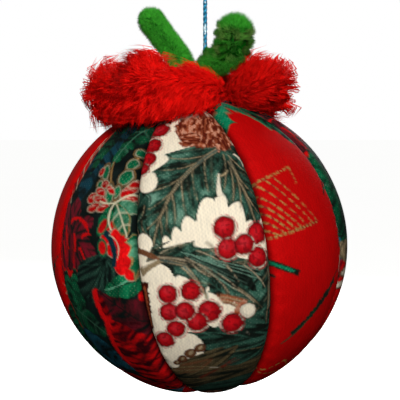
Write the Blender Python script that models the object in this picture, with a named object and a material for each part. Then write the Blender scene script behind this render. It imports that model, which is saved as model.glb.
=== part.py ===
"""Quilted fabric Christmas ball: nine padded cloth gores with tucked seams, a fur ruff round the top,
two chenille stems and a metallic cord that ends in a tied loop.

Metres, +Z up, the front towards -Y. The origin is the inside top of the loop, where the ball hangs.
"""

import math
import random

import bmesh
import bpy
from mathutils import Matrix, Vector

MM = 0.001
WELD_DISTANCE = 0.01 * MM
SHARP_ANGLE = math.radians(50.0)

# The ball: a padded sphere whose seam axis leans a little to the left
BALL_RADIUS = 38.5 * MM
BALL_CENTRE = Vector((-1.5 * MM, 0.0, -85.0 * MM))
AXIS_LEAN = math.radians(-7.0)
PIECE_GAP = 0.3 * MM

# The gores: longitudes run from the front to the right, and each gore goes from its seam to the next
GORES = (
    # name, seam on its left in degrees, width in degrees
    ("gore_poinsettia_front", -62.0, 41.0),
    ("gore_holly_front", -21.0, 45.8),
    ("gore_red_front", 24.8, 40.4),
    ("gore_poinsettia_right", 65.2, 38.8),
    ("gore_holly_right", 104.0, 38.6),
    ("gore_red_back", 142.6, 39.0),
    ("gore_poinsettia_back", 181.6, 38.8),
    ("gore_holly_left", 220.4, 38.8),
    ("gore_red_left", 259.2, 38.8),
)
GORE_ROWS = 26
GORE_COLUMNS = 8
COLUMN_CROWDING = 0.6
SEAM_DEPTH = 1.6 * MM
SEAM_REACH = 1.7 * MM

# The fur ruff: an open band round the stems, its two ends close together at the front right
RUFF_STATIONS = (
    # azimuth in degrees, then in millimetres: inner radius, foot radius, brim radius, crest height
    (29.0, 8.8, 12.6, 12.6, 40.4),
    (20.0, 9.0, 15.2, 15.0, 42.4),
    (6.0, 9.4, 19.6, 18.6, 44.2),
    (-9.0, 9.8, 24.2, 21.6, 45.8),
    (-24.0, 10.0, 28.4, 24.2, 46.0),
    (-46.0, 10.0, 30.0, 26.4, 47.4),
    (-70.0, 10.0, 28.0, 27.6, 47.0),
    (-95.0, 10.0, 25.8, 28.4, 46.2),
    (-130.0, 10.0, 24.4, 26.0, 45.4),
    (-165.0, 10.0, 23.6, 24.0, 45.6),
    (-200.0, 10.0, 23.2, 23.6, 45.8),
    (-235.0, 10.0, 22.8, 23.6, 46.6),
    (-262.0, 10.0, 22.0, 23.2, 47.6),
    (-283.0, 10.0, 22.0, 23.2, 48.0),
    (-300.0, 9.6, 21.2, 21.0, 46.0),
    (-314.0, 9.0, 16.2, 17.0, 42.2),
    (-322.0, 8.8, 13.0, 13.6, 40.0),
)
RUFF_STEPS = 44
RUFF_SIDES = 12
RUFF_SQUARENESS = 0.62
RUFF_FUNNEL = 2.4 * MM
RUFF_SEAT_GAP = 0.45 * MM
RUFF_END_SHRINK = 0.45
LUMP_HEIGHT = 0.5 * MM
LUMP_UNEVENNESS = 0.6
LUMP_BEAT = 2.3
LUMPS_ROUND = 3
LUMPS_ALONG = 7
LOCK_LENGTH = 3.4 * MM
LOCK_SPREAD = 1.1 * MM
LOCK_WAIST = 0.6
LOCK_WAIST_AT = 0.45
LOCK_END_STEPS = 6
LOCK_ROWS = (
    # side of the section, counted from the outside over the top, and how far its locks droop
    (RUFF_SIDES - 1, 0.4),
    (0, 0.35),
    (1, 0.1),
    (2, -0.2),
)
LOCK_SEED = 7

# The chenille stems: x, y, z from the ball's centre and the radius there, in millimetres
STEM_ROUTES = {
    "stem_straight": (
        (-3.7, 2.3, 43.0, 3.6),
        (-4.9, 3.0, 48.2, 3.6),
        (-9.6, 3.0, 54.7, 3.6),
        (-13.8, 3.0, 60.4, 3.75),
        (-14.8, 3.0, 61.8, 3.75),
    ),
    "stem_curled": (
        (0.8, -5.2, 42.8, 3.6),
        (3.0, -6.2, 46.4, 3.8),
        (6.2, -8.3, 48.2, 4.3),
        (8.4, -9.7, 50.8, 4.75),
        (8.6, -10.0, 54.6, 4.75),
        (8.2, -10.0, 58.4, 4.3),
    ),
}
STEM_SEATS = {"stem_straight": (-3.6, 2.2), "stem_curled": (0.4, -5.0)}
STEM_RADIUS = 3.6 * MM
STEM_TIP_RADIUS = 1.2 * MM
STEM_SPACING = 1.1 * MM
STEM_RESOLUTION = 4

# The cord: straight up from the ball to the knot, then a tied loop
CORD_DIAMETER = 1.0 * MM
CORD_SPACING = 2.5 * MM
CORD_RESOLUTION = 2
KNOT_HEIGHT = -13.5 * MM
KNOT_RADIUS = 1.3 * MM
KNOT_SIDES = 12
KNOT_RINGS = 8
LOOP_WIDTH = 7.6 * MM
LOOP_POINTS = 26
LOOP_PINCH = 0.9
LOOP_TWIST = 0.1 * MM

# How finely the surface under a foot is sampled, and how often its height is worked out again
FOOT_SAMPLES = 12
HEIGHT_ROUNDS = 6

MATERIALS = {
    # name: linear red, green and blue, then roughness and metallic
    "print_poinsettia": ((0.030, 0.075, 0.045, 1.0), 0.85, 0.0),
    "print_holly": ((0.62, 0.58, 0.40, 1.0), 0.85, 0.0),
    "print_red": ((0.55, 0.006, 0.008, 1.0), 0.85, 0.0),
    "red_fur": ((0.39, 0.004, 0.006, 1.0), 0.95, 0.0),
    "green_chenille": ((0.008, 0.14, 0.012, 1.0), 0.9, 0.0),
    "metallic_cord": ((0.12, 0.42, 0.60, 1.0), 0.3, 0.8),
}


def clear_scene():
    for thing in list(bpy.data.objects):
        bpy.data.objects.remove(thing, do_unlink=True)


def make_collection(name):
    collection = bpy.data.collections.new(name)
    bpy.context.scene.collection.children.link(collection)
    return collection


def make_material(name):
    colour, roughness, metallic = MATERIALS[name]
    material = bpy.data.materials.new(name)
    material.use_nodes = True
    shader = material.node_tree.nodes["Principled BSDF"]
    shader.inputs["Base Color"].default_value = colour
    shader.inputs["Roughness"].default_value = roughness
    shader.inputs["Metallic"].default_value = metallic
    return material


def object_from_bmesh(name, bm, material, collection):
    mesh = bpy.data.meshes.new(name)
    bm.to_mesh(mesh)
    bm.free()
    mesh.materials.append(material)
    mesh.shade_smooth()
    mesh.set_sharp_from_angle(angle=SHARP_ANGLE)
    thing = bpy.data.objects.new(name, mesh)
    collection.objects.link(thing)
    return thing


def smooth_route(route, spacing):
    """Points about one spacing apart on a Catmull-Rom curve through the route's own points."""
    ends = [2 * route[0] - route[1]] + route + [2 * route[-1] - route[-2]]
    fine = []
    for before, start, end, after in zip(ends, ends[1:], ends[2:], ends[3:]):
        count = max(1, round((end - start).length / spacing))
        for step in range(count):
            t = step / count
            once = (end - before) * t
            twice = (2 * before - 5 * start + 4 * end - after) * t**2
            thrice = (3 * start - before - 3 * end + after) * t**3
            fine.append(0.5 * (2 * start + once + twice + thrice))
    return fine + [route[-1]]


def make_tube(name, points, radii, resolution, material, collection):
    """A poly curve with a round bevel and filled caps, with a radius at each point."""
    curve = bpy.data.curves.new(name, "CURVE")
    curve.dimensions = "3D"
    curve.bevel_depth = 1.0
    curve.bevel_resolution = resolution
    curve.use_fill_caps = True
    curve.materials.append(material)
    spline = curve.splines.new("POLY")
    spline.points.add(len(points) - 1)
    for slot, point, radius in zip(spline.points, points, radii):
        slot.co = (point[0], point[1], point[2], 1.0)
        slot.radius = radius
    thing = bpy.data.objects.new(name, curve)
    collection.objects.link(thing)
    return thing


def mesh_from_curve(thing, collection):
    """The curve as a mesh object with its caps welded on, so that it can be joined."""
    bpy.context.view_layer.update()
    evaluated = thing.evaluated_get(bpy.context.evaluated_depsgraph_get())
    mesh = bpy.data.meshes.new_from_object(evaluated)
    name = thing.name
    placed = thing.matrix_world.copy()
    bpy.data.objects.remove(thing, do_unlink=True)
    bm = bmesh.new()
    bm.from_mesh(mesh)
    bmesh.ops.remove_doubles(bm, verts=bm.verts, dist=WELD_DISTANCE)
    bm.to_mesh(mesh)
    bm.free()
    solid = bpy.data.objects.new(name, mesh)
    solid.matrix_world = placed
    collection.objects.link(solid)
    return solid


# The cloth ball

def on_sphere(radius, polar, longitude):
    """A point at a polar angle and a longitude, which runs from the front to the right."""
    across = radius * math.sin(polar)
    return Vector(
        (across * math.sin(longitude), -across * math.cos(longitude), radius * math.cos(polar))
    )


def drawn_in_radius(polar, seam_angle):
    """The ball's radius at a polar angle, that many radians of longitude from the nearest seam."""
    distance = BALL_RADIUS * math.sin(polar) * seam_angle
    return BALL_RADIUS - SEAM_DEPTH * math.exp(-distance / SEAM_REACH)


def ball_height(x, y):
    """Height over the ball's centre of its surface at a place in plan, on the upper half."""
    upright = Matrix.Rotation(-AXIS_LEAN, 3, "Y")
    radius = BALL_RADIUS
    for _ in range(HEIGHT_ROUNDS):
        height = math.sqrt(radius**2 - x**2 - y**2)
        local = upright @ Vector((x, y, height)).normalized()
        longitude = math.degrees(math.atan2(local.x, -local.y))
        away = min(abs((longitude - seam + 180.0) % 360.0 - 180.0) for _name, seam, _width in GORES)
        radius = drawn_in_radius(math.acos(min(1.0, local.z)), math.radians(away))
    return math.sqrt(radius**2 - x**2 - y**2)


def seat_height(x, y, footprint):
    """The highest that the ball reaches under a round foot."""
    turns = [2 * math.pi * step / FOOT_SAMPLES for step in range(FOOT_SAMPLES)]
    ring = [
        ball_height(x + footprint * math.cos(turn), y + footprint * math.sin(turn)) for turn in turns
    ]
    return max(ring + [ball_height(x, y)])


def make_gore(name, seam, width, material, axis, collection):
    """An orange slice: half a disc spun through the gore's width, then drawn in beside its seams."""
    bm = bmesh.new()
    rows = [math.pi * row / GORE_ROWS for row in range(GORE_ROWS + 1)]
    face = bm.faces.new([bm.verts.new(on_sphere(BALL_RADIUS, polar, seam)) for polar in rows])
    bmesh.ops.spin(
        bm,
        geom=[face] + list(face.edges) + list(face.verts),
        cent=(0, 0, 0),
        axis=(0, 0, 1),
        angle=width,
        steps=GORE_COLUMNS,
        use_duplicate=False,
    )
    bmesh.ops.remove_doubles(bm, verts=bm.verts, dist=WELD_DISTANCE)

    middle = seam + width / 2
    shift = on_sphere(PIECE_GAP / 2 / math.sin(width / 2), math.pi / 2, middle)
    for vert in bm.verts:
        polar = math.acos(max(-1.0, min(1.0, vert.co.z / BALL_RADIUS)))
        turn = (math.atan2(vert.co.x, -vert.co.y) - middle + math.pi) % (2 * math.pi) - math.pi
        across = max(0.0, min(1.0, turn / width + 0.5))
        across -= COLUMN_CROWDING * math.sin(2 * math.pi * across) / (2 * math.pi)
        radius = drawn_in_radius(polar, min(across, 1.0 - across) * width)
        vert.co = on_sphere(radius, polar, seam + across * width) + shift
    bmesh.ops.recalc_face_normals(bm, faces=bm.faces)
    gore = object_from_bmesh(name, bm, material, collection)
    gore.parent = axis


def make_ball(collection):
    axis = bpy.data.objects.new("ball_axis", None)
    axis.location = BALL_CENTRE
    axis.rotation_euler = (0.0, AXIS_LEAN, 0.0)
    collection.objects.link(axis)
    prints = {slot: make_material(slot) for slot in MATERIALS if slot.startswith("print_")}
    for name, seam, width in GORES:
        cloth = prints["print_" + name.split("_")[1]]
        make_gore(name, math.radians(seam), math.radians(width), cloth, axis, collection)


# The fur ruff

def ruff_sizes(azimuth):
    """Inner, foot and brim radius and crest height at an azimuth, eased between the stations."""
    for start, end in zip(RUFF_STATIONS, RUFF_STATIONS[1:]):
        if azimuth >= end[0]:
            t = (azimuth - start[0]) / (end[0] - start[0])
            ease = t * t * (3 - 2 * t)
            return [(low + (high - low) * ease) * MM for low, high in zip(start[1:], end[1:])]
    return [value * MM for value in RUFF_STATIONS[-1][1:]]


def ruff_section(azimuth, shrink, lump):
    """One rounded section of the band, its foot on the ball and its crest at its own height."""
    inner, foot, brim, crest = ruff_sizes(azimuth)
    turn = math.radians(azimuth)
    points = []
    for side in range(RUFF_SIDES):
        angle = 2 * math.pi * side / RUFF_SIDES
        across = math.copysign(abs(math.cos(angle)) ** RUFF_SQUARENESS, math.cos(angle)) * shrink
        rise = math.copysign(abs(math.sin(angle)) ** RUFF_SQUARENESS, math.sin(angle)) * shrink
        height = (rise + 1) / 2
        inside = inner + RUFF_FUNNEL * height
        outside = foot + (brim - foot) * height
        radius = inside + (outside - inside) * (across + 1) / 2
        low = math.sqrt((BALL_RADIUS + RUFF_SEAT_GAP) ** 2 - radius**2)
        swell = lump * height * math.sin(LUMPS_ROUND * angle + LUMPS_ALONG * turn)
        up = low + (crest - low) * height + swell
        points.append(on_sphere(radius + swell, math.pi / 2, turn) + Vector((0.0, 0.0, up)))
    return points


def grow_lock(bm, face, length, droop):
    """A tapering four-sided lock on one face: a waist, then the tip, bending downwards."""
    centre = face.calc_center_median()
    normal = face.normal.copy()
    corners = list(face.verts)
    waist_centre = centre + LOCK_WAIST_AT * length * normal
    lean = (normal + Vector((0.0, 0.0, -droop))).normalized()
    tip = bm.verts.new(waist_centre + (1 - LOCK_WAIST_AT) * length * lean)
    waist = [bm.verts.new(waist_centre + LOCK_WAIST * (corner.co - centre)) for corner in corners]
    bm.faces.remove(face)
    for index, corner in enumerate(corners):
        beyond = (index + 1) % len(corners)
        bm.faces.new((corner, corners[beyond], waist[beyond], waist[index]))
        bm.faces.new((waist[index], waist[beyond], tip))


def make_ruff(collection):
    """The band is lofted through its stations; locks grow from every other face along its rim."""
    bm = bmesh.new()
    first, last = RUFF_STATIONS[0][0], RUFF_STATIONS[-1][0]
    rings = []
    for step in range(RUFF_STEPS + 1):
        shrink = RUFF_END_SHRINK if step in (0, RUFF_STEPS) else 1.0
        azimuth = first + (last - first) * step / RUFF_STEPS
        lump = LUMP_HEIGHT * (1.0 + LUMP_UNEVENNESS * math.sin(LUMP_BEAT * step))
        rings.append([bm.verts.new(point) for point in ruff_section(azimuth, shrink, lump)])
    for ring, following in zip(rings, rings[1:]):
        for side in range(RUFF_SIDES):
            beyond = (side + 1) % RUFF_SIDES
            bm.faces.new((ring[side], ring[beyond], following[beyond], following[side]))
    bm.faces.new(rings[0][::-1])
    bm.faces.new(rings[-1])
    bmesh.ops.recalc_face_normals(bm, faces=bm.faces)
    bm.normal_update()
    bm.faces.ensure_lookup_table()

    dice = random.Random(LOCK_SEED)
    chosen = []
    for step in range(1, RUFF_STEPS - 1):
        growth = min(1.0, min(step, RUFF_STEPS - step) / LOCK_END_STEPS)
        for side, droop in LOCK_ROWS:
            if (step + side) % 2 == 0:
                chosen.append((bm.faces[step * RUFF_SIDES + side], droop, growth))
    for face, droop, growth in chosen:
        length = LOCK_LENGTH + dice.uniform(-LOCK_SPREAD, LOCK_SPREAD)
        grow_lock(bm, face, length * growth, droop)
    bmesh.ops.recalc_face_normals(bm, faces=bm.faces)
    ruff = object_from_bmesh("fur_ruff", bm, make_material("red_fur"), collection)
    ruff.location = BALL_CENTRE


# The chenille stems

def make_stem(name, material, collection):
    """A thick fuzzy stem with a round tip; its foot is rounded too and sits just over the ball."""
    x, y = (value * MM for value in STEM_SEATS[name])
    foot = Vector((x, y, seat_height(x, y, STEM_TIP_RADIUS) + PIECE_GAP, STEM_RADIUS))
    points = smooth_route([foot] + [Vector(row) * MM for row in STEM_ROUTES[name]], STEM_SPACING)
    reach = [0.0]
    for start, end in zip(points, points[1:]):
        reach.append(reach[-1] + (end - start).xyz.length)
    radii = []
    for point, along in zip(points, reach):
        full = point.w
        inset = full - min(full, along, reach[-1] - along)
        radii.append(max(STEM_TIP_RADIUS, math.sqrt(full**2 - inset**2)))
    stem = make_tube(name, points, radii, STEM_RESOLUTION, material, collection)
    stem.location = BALL_CENTRE


# The cord and its loop

def make_cord(material, collection):
    """The taut cord, from just over the ball to just under the knot."""
    foot = BALL_CENTRE.z + ball_height(-BALL_CENTRE.x, 0.0) + PIECE_GAP
    top = KNOT_HEIGHT - KNOT_RADIUS - PIECE_GAP
    count = round((top - foot) / CORD_SPACING)
    points = [(0.0, 0.0, foot + (top - foot) * step / count) for step in range(count + 1)]
    radii = [CORD_DIAMETER / 2] * len(points)
    make_tube("hanging_cord", points, radii, CORD_RESOLUTION, material, collection)


def make_loop(material, collection):
    """A tear-shaped loop of the same cord, joined to its round knot."""
    height = CORD_DIAMETER / 2 - KNOT_HEIGHT
    points = []
    for step in range(LOOP_POINTS + 1):
        turn = 2 * math.pi * step / LOOP_POINTS
        pinch = abs(math.sin(turn / 2)) ** LOOP_PINCH
        points.append(
            (
                LOOP_WIDTH / 2 * math.sin(turn) * pinch,
                LOOP_TWIST * (1 - 2 * step / LOOP_POINTS),
                KNOT_HEIGHT + height * (1 - math.cos(turn)) / 2,
            )
        )
    radii = [CORD_DIAMETER / 2] * len(points)
    loop = make_tube("hanging_loop", points, radii, CORD_RESOLUTION, material, collection)
    loop = mesh_from_curve(loop, collection)
    loop.name = "hanging_loop"

    bm = bmesh.new()
    bmesh.ops.create_uvsphere(bm, u_segments=KNOT_SIDES, v_segments=KNOT_RINGS, radius=KNOT_RADIUS)
    bmesh.ops.translate(bm, verts=bm.verts, vec=(0.0, 0.0, KNOT_HEIGHT))
    knot = object_from_bmesh("knot_form", bm, material, make_collection("joined_forms"))
    knot.hide_render = True
    knot.display_type = "WIRE"
    join = loop.modifiers.new("knot", "BOOLEAN")
    join.operation = "UNION"
    join.object = knot


def main():
    clear_scene()
    collection = make_collection("fabric_christmas_ball")
    make_ball(collection)
    make_ruff(collection)
    green = make_material("green_chenille")
    for name in STEM_ROUTES:
        make_stem(name, green, collection)
    blue = make_material("metallic_cord")
    make_cord(blue, collection)
    make_loop(blue, collection)


main()
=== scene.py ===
"""Looks of the fabric Christmas ball: printed cotton gores over a padded ball, a red fur ruff,
chenille stems and a twisted metallic cord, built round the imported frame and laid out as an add-on.

Lengths are metres in the row frame unless a name or comment says millimetres.
"""

import math
from types import SimpleNamespace

import bpy
import numpy as np
from bpy.props import FloatProperty, FloatVectorProperty, IntProperty, PointerProperty
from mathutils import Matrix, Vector


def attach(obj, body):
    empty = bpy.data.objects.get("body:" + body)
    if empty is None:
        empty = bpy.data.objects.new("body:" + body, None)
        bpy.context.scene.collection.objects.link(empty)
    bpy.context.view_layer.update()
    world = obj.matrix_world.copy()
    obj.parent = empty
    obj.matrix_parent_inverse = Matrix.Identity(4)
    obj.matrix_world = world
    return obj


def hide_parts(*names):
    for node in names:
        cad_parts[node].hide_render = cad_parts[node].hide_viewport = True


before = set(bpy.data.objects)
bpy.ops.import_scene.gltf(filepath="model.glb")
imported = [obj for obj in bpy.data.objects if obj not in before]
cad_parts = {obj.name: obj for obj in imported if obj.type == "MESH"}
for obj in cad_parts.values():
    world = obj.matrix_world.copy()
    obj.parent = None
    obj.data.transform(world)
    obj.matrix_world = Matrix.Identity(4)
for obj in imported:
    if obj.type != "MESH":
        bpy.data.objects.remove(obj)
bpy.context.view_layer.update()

bl_info = {
    "name": "Fabric Christmas ball",
    "version": (1, 0, 0),
    "blender": (4, 5, 0),
    "location": "3D View > Sidebar > Christmas ball",
    "description": "Printed cotton gores, a fur ruff, chenille stems and a twisted cord",
    "category": "Add Mesh",
}

MM = 0.001

# The sizes of the CAD's solids, repeated here
BALL_RADIUS = 38.5 * MM
BALL_CENTRE = np.array((-1.5, 0.0, -85.0)) * MM
AXIS_LEAN = math.radians(-7.0)
SEAM_DEPTH = 1.6 * MM
SEAM_REACH = 1.2 * MM

# The cloth near a seam: how far the tuck, the puckers, the lumps and the painted shade reach from it, the
# size of a pucker and of a lump, how much mesh columns crowd, and the side walls' share of the radius
TUCK_REACH = 0.45 * MM
PUCKER_PLACE = 1.2 * MM
PUCKER_SPREAD = 1.6 * MM
PUCKER_GRAIN = 2.4 * MM
LUMP_START = 4 * MM
LUMP_GRAIN = 11 * MM
PAINTED_SHADE_REACH = 0.5 * MM
COLUMN_CROWDING = 0.6
WALL_DEPTHS = (0.97, 0.85)

# Each gore: its seam on the left and its width in degrees, its print, how the cloth was cut from
# the print (turned round or not, slid sideways in degrees, moved up in millimetres) and its mesh
# step in millimetres, which is finer where the camera looks
GORES = (
    ("gore_poinsettia_front", -62.0, 41.0, "poinsettia", 1, -1.5, 0.0, 0.27),
    ("gore_holly_front", -21.0, 45.8, "holly", 1, 1.0, 0.0, 0.23),
    ("gore_red_front", 24.8, 40.4, "red", 1, 3.9, 0.0, 0.36),
    ("gore_poinsettia_right", 65.2, 38.8, "poinsettia_right", 1, 4.3, -22.0, 0.52),
    ("gore_holly_right", 104.0, 38.6, "holly", -1, 0.0, 6.0, 0.52),
    ("gore_red_back", 142.6, 39.0, "red", -1, 0.0, 0.0, 0.52),
    ("gore_poinsettia_back", 181.6, 38.8, "poinsettia", 1, 0.0, 19.0, 0.52),
    ("gore_holly_left", 220.4, 38.8, "holly", 1, 0.0, 21.0, 0.52),
    ("gore_red_left", 259.2, 38.8, "red", 1, 0.0, -11.0, 0.52),
)

# The fur strip: azimuth in degrees, then inner, foot and brim radius and crest height in millimetres
RUFF_STATIONS = np.array((
    (29, 8.8, 12.6, 12.6, 40.4), (20, 9.0, 15.2, 15.0, 42.4), (6, 9.4, 19.6, 18.6, 44.2),
    (-9, 9.8, 24.2, 21.6, 45.8), (-24, 10.0, 28.4, 24.2, 46.0), (-46, 10.0, 30.0, 26.4, 47.4),
    (-70, 10.0, 28.0, 27.6, 47.0), (-95, 10.0, 25.8, 28.4, 46.2), (-130, 10.0, 24.4, 26.0, 45.4),
    (-165, 10.0, 23.6, 24.0, 45.6), (-200, 10.0, 23.2, 23.6, 45.8), (-235, 10.0, 22.8, 23.6, 46.6),
    (-262, 10.0, 22.0, 23.2, 47.6), (-283, 10.0, 22.0, 23.2, 48.0), (-300, 9.6, 21.2, 21.0, 46.0),
    (-314, 9.0, 16.2, 17.0, 42.2), (-322, 8.8, 13.0, 13.6, 40.0),
))
RUFF_SQUARENESS = 0.62
RUFF_FUNNEL = 2.4 * MM
RUFF_SEAT_GAP = 0.45 * MM
RUFF_END_TURN = 16

# Where the pile changes along the strip: the middle and the reach of each place in degrees
FUR_PLACES = {
    "front": (-22, 34), "stems": (-17, 12), "front_left": (-33, 8), "left_dip": (-58, 9),
    "left_foot": (-84, 26), "left_end": (-88, 20), "back_left": (-148, 13), "back_right": (-226, 10),
    "right_end": (-272, 24), "front_right": (-308, 8), "strip_start": (27, 8), "strip_end": (-320, 8),
    "hollow_start": (30, 8), "hollow_end": (-318, 13),
}

# The stems: x, y, z from the ball's centre and the radius there, in millimetres
STEM_ROUTES = {
    "stem_straight": (
        (-3.6, 2.2, 38.6, 3.6), (-3.7, 2.3, 43.0, 3.6), (-4.9, 3.0, 48.2, 3.6),
        (-9.6, 3.0, 54.7, 3.6), (-13.8, 3.0, 60.4, 3.75), (-14.8, 3.0, 61.8, 3.75),
    ),
    "stem_curled": (
        (0.4, -5.0, 38.4, 3.6), (0.8, -5.2, 42.8, 3.6), (3.0, -6.2, 46.4, 3.8),
        (6.2, -8.3, 48.2, 4.3), (8.4, -9.7, 50.8, 4.75), (8.6, -10.0, 54.6, 4.75),
        (8.2, -10.0, 58.4, 4.3),
    ),
}

# The smooth bright cap of the curled stem, from the ball's centre in millimetres, and the number
# of tufts that a stem's pile gathers in
SMOOTH_CAP = (9.6, -12.0, 59.0)
STEM_TUFTS = 260

# The cord: straight up from the ball to its knot, then the tied loop
CORD_DIAMETER = 1.0 * MM
CORD_FOOT = -46.9 * MM
CORD_TOP = -14.7 * MM
KNOT_HEIGHT = -13.5 * MM
LOOP_WIDTH = 7.6 * MM
LOOP_PINCH = 0.9

# The photograph's view: the camera's distance from the ball, its shift to the right, its height
# angle, how far it aims above the ball's centre and its lens in millimetres
CAMERA_DISTANCE = 0.1925
CAMERA_SHIFT = 0.16 * MM
CAMERA_HEIGHT_ANGLE = math.radians(8.6)
CAMERA_AIM = math.atan(44 / 721)
CAMERA_LENS = 64.9


# Helpers

def linear(code):
    """An sRGB hex colour as linear red, green and blue."""
    value = np.array([int(code[place:place + 2], 16) for place in (1, 3, 5)]) / 255
    return np.where(value <= 0.04045, value / 12.92, ((value + 0.055) / 1.055) ** 2.4)


def node(tree, kind, links=None, **settings):
    """Adds a shader node, or takes one that is there, sets its properties, and links or sets its
    inputs. A node given for an input stands for its first output."""
    made = tree.nodes.new("ShaderNode" + kind) if isinstance(kind, str) else kind
    for name, value in settings.items():
        setattr(made, name, value)
    for socket, value in (links or {}).items():
        if isinstance(value, bpy.types.Node):
            value = value.outputs[0]
        if isinstance(value, bpy.types.NodeSocket):
            tree.links.new(value, made.inputs[socket])
        else:
            made.inputs[socket].default_value = value
    return made


def ranged(tree, source, low, high, bottom, top):
    """A value mapped from one range to another and held inside it."""
    return node(tree, "MapRange", {0: source, 1: low, 2: high, 3: bottom, 4: top})


def maths(tree, operation, first, second=0.5):
    """A sum or product of two values, or an operation on the first alone."""
    return node(tree, "Math", {0: first, 1: second}, operation=operation)


def new_material(name):
    """A material with an empty tree but for its Principled shader, and that tree and shader."""
    material = bpy.data.materials.new(name)
    material.use_nodes = True
    tree = material.node_tree
    return material, tree, tree.nodes["Principled BSDF"]


def clamp(values):
    """Values held between 0 and 1."""
    return np.clip(values, 0, 1)


def fade(distance, width):
    """A bell: 1 at no distance, 0.37 at the width and next to nothing at twice the width."""
    return np.exp(-((distance / width) ** 2))


def noise(points, scale, seed):
    """Smooth noise from -1 to 1: random numbers at the whole-number places of a lattice whose step
    is scale, eased from each to the next. points is (count, 2) or (count, 3)."""
    place = points / scale
    cell = np.floor(place).astype(np.int64)
    ease = place - cell
    ease = ease * ease * (3 - 2 * ease)
    total = np.zeros(len(points))
    primes = (374761393, 668265263, 2147483647)
    for corner in range(2 ** points.shape[1]):
        key = np.full(len(points), seed * 362437, np.int64)
        share = np.ones(len(points))
        for axis in range(points.shape[1]):
            step = corner >> axis & 1
            key = key + (cell[:, axis] + step) * primes[axis]
            share = share * (ease[:, axis] if step else 1 - ease[:, axis])
        key = (key ^ (key >> 13)) * 1274126177
        key = (key ^ (key >> 16)) & 0xFFFF
        total += share * key / 32767.5
    return total - 1


def unit(vectors):
    return vectors / np.maximum(np.linalg.norm(vectors, axis=-1, keepdims=True), 1e-12)


def grid_triangles(index, closed):
    """Two triangles for each cell of a grid of vertex numbers; a cell's triangle that has lost a
    side at a pole is left out."""
    if closed:
        index = np.concatenate((index, index[:, :1]), axis=1)
    low, right = index[:-1, :-1].ravel(), index[:-1, 1:].ravel()
    up, far = index[1:, :-1].ravel(), index[1:, 1:].ravel()
    faces = np.concatenate((np.stack((low, right, far), -1), np.stack((low, far, up), -1)))
    first, second, third = faces.T
    return faces[(first != second) & (second != third) & (third != first)]


def used_points(faces):
    """The numbers of the points that triangles use, and the triangles counted over those alone."""
    used, faces = np.unique(faces, return_inverse=True)
    return used, faces.reshape(-1, 3)


def closed_form(points):
    """Closes a grid of points round its rows and draws its first and last row to a point each.
    Returns what used_points returns."""
    index = np.arange(points.shape[0] * points.shape[1]).reshape(points.shape[:2])
    index[0, :], index[-1, :] = index[0, 0], index[-1, 0]
    return used_points(grid_triangles(index, True))


def add_piece(name, points, faces, material, replaced, colour=None, uv=None):
    """A mesh object from whole arrays, with its colour at each point and its map, that rides on the
    frame and stands for its solids."""
    mesh = bpy.data.meshes.new(name)
    mesh.vertices.add(len(points))
    mesh.vertices.foreach_set("co", np.asarray(points, np.float32).ravel())
    mesh.loops.add(faces.size)
    mesh.loops.foreach_set("vertex_index", np.asarray(faces, np.int32).ravel())
    mesh.polygons.add(len(faces))
    mesh.polygons.foreach_set("loop_start", np.arange(0, faces.size, 3, dtype=np.int32))
    mesh.update(calc_edges=True)
    mesh.shade_smooth()
    if colour is not None:
        rgba = np.concatenate((colour, np.ones((len(colour), 1))), axis=1)
        layer = mesh.attributes.new("dye", "FLOAT_COLOR", "POINT")
        layer.data.foreach_set("color", rgba.astype(np.float32).ravel())
    if uv is not None:
        layer = mesh.uv_layers.new(name="cloth")
        layer.data.foreach_set("uv", uv[faces.ravel()].astype(np.float32).ravel())
    mesh.materials.append(material)
    piece = bpy.data.objects.new(name, mesh)
    bpy.context.scene.collection.objects.link(piece)
    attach(piece, "root")
    if replaced:
        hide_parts(*replaced)
    return piece


def on_sphere(radius, polar, longitude):
    """Points at a polar angle and a longitude, which runs from the front to the right."""
    across = radius * np.sin(polar)
    return np.stack(
        np.broadcast_arrays(
            across * np.sin(longitude), -across * np.cos(longitude), radius * np.cos(polar)
        ),
        -1,
    )


# The printed cotton

CREAM = linear("#f6e9cf")
LEAF_DARK = linear("#121b15")
LEAF_TEAL = linear("#35604f")
LEAF_LIGHT = linear("#709a84")
VEIN_TAN = linear("#a58f6c")
BERRY_RED = linear("#bb0e17")
BERRY_PINK = linear("#de4450")
BERRY_DARK = linear("#56060c")
CONE_DARK = linear("#581c10")
CONE_BROWN = linear("#a85230")
CONE_LIGHT = linear("#d0967a")
TWIG_BROWN = linear("#7a4c30")
NIGHT = linear("#0c1513")
NIGHT_TEAL = linear("#0f3f4c")
FLOWER_GREEN = linear("#0d6a42")
FLOWER_MINT = linear("#68b78e")
FLOWER_RED = linear("#dc0d10")
FLOWER_WINE = linear("#4c0a14")
PALE_LINE = linear("#dcd3b0")
GOLD = linear("#a87f4a")
HOLIDAY_RED = linear("#c10506")
BAR_GREEN = linear("#0a7d55")
DASH_GOLD = linear("#a3904a")
VEIN_GREY = linear("#47605a")
OLIVE = linear("#5d4f34")

# How far forward the veins of a holly leaf run for each millimetre away from its midrib
VEIN_SLANT = 1.1


def beside(a, b, base, tip, bend=0.0):
    """The share of the way from base to tip, the millimetres to the left of the line between them,
    which bows sideways by bend at its middle, and the line's length."""
    run = np.subtract(tip, base)
    x, y = a - base[0], b - base[1]
    share = (x * run[0] + y * run[1]) / (run @ run)
    inside = clamp(share)
    side = (y * run[0] - x * run[1]) / math.hypot(*run) - bend * 4 * inside * (1 - inside)
    return share, side, math.hypot(*run)


def past_ends(share, length):
    """How far a place lies beyond the nearer end of a line, minus where it lies between its ends."""
    return (np.abs(share - 0.5) - 0.5) * length


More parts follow.
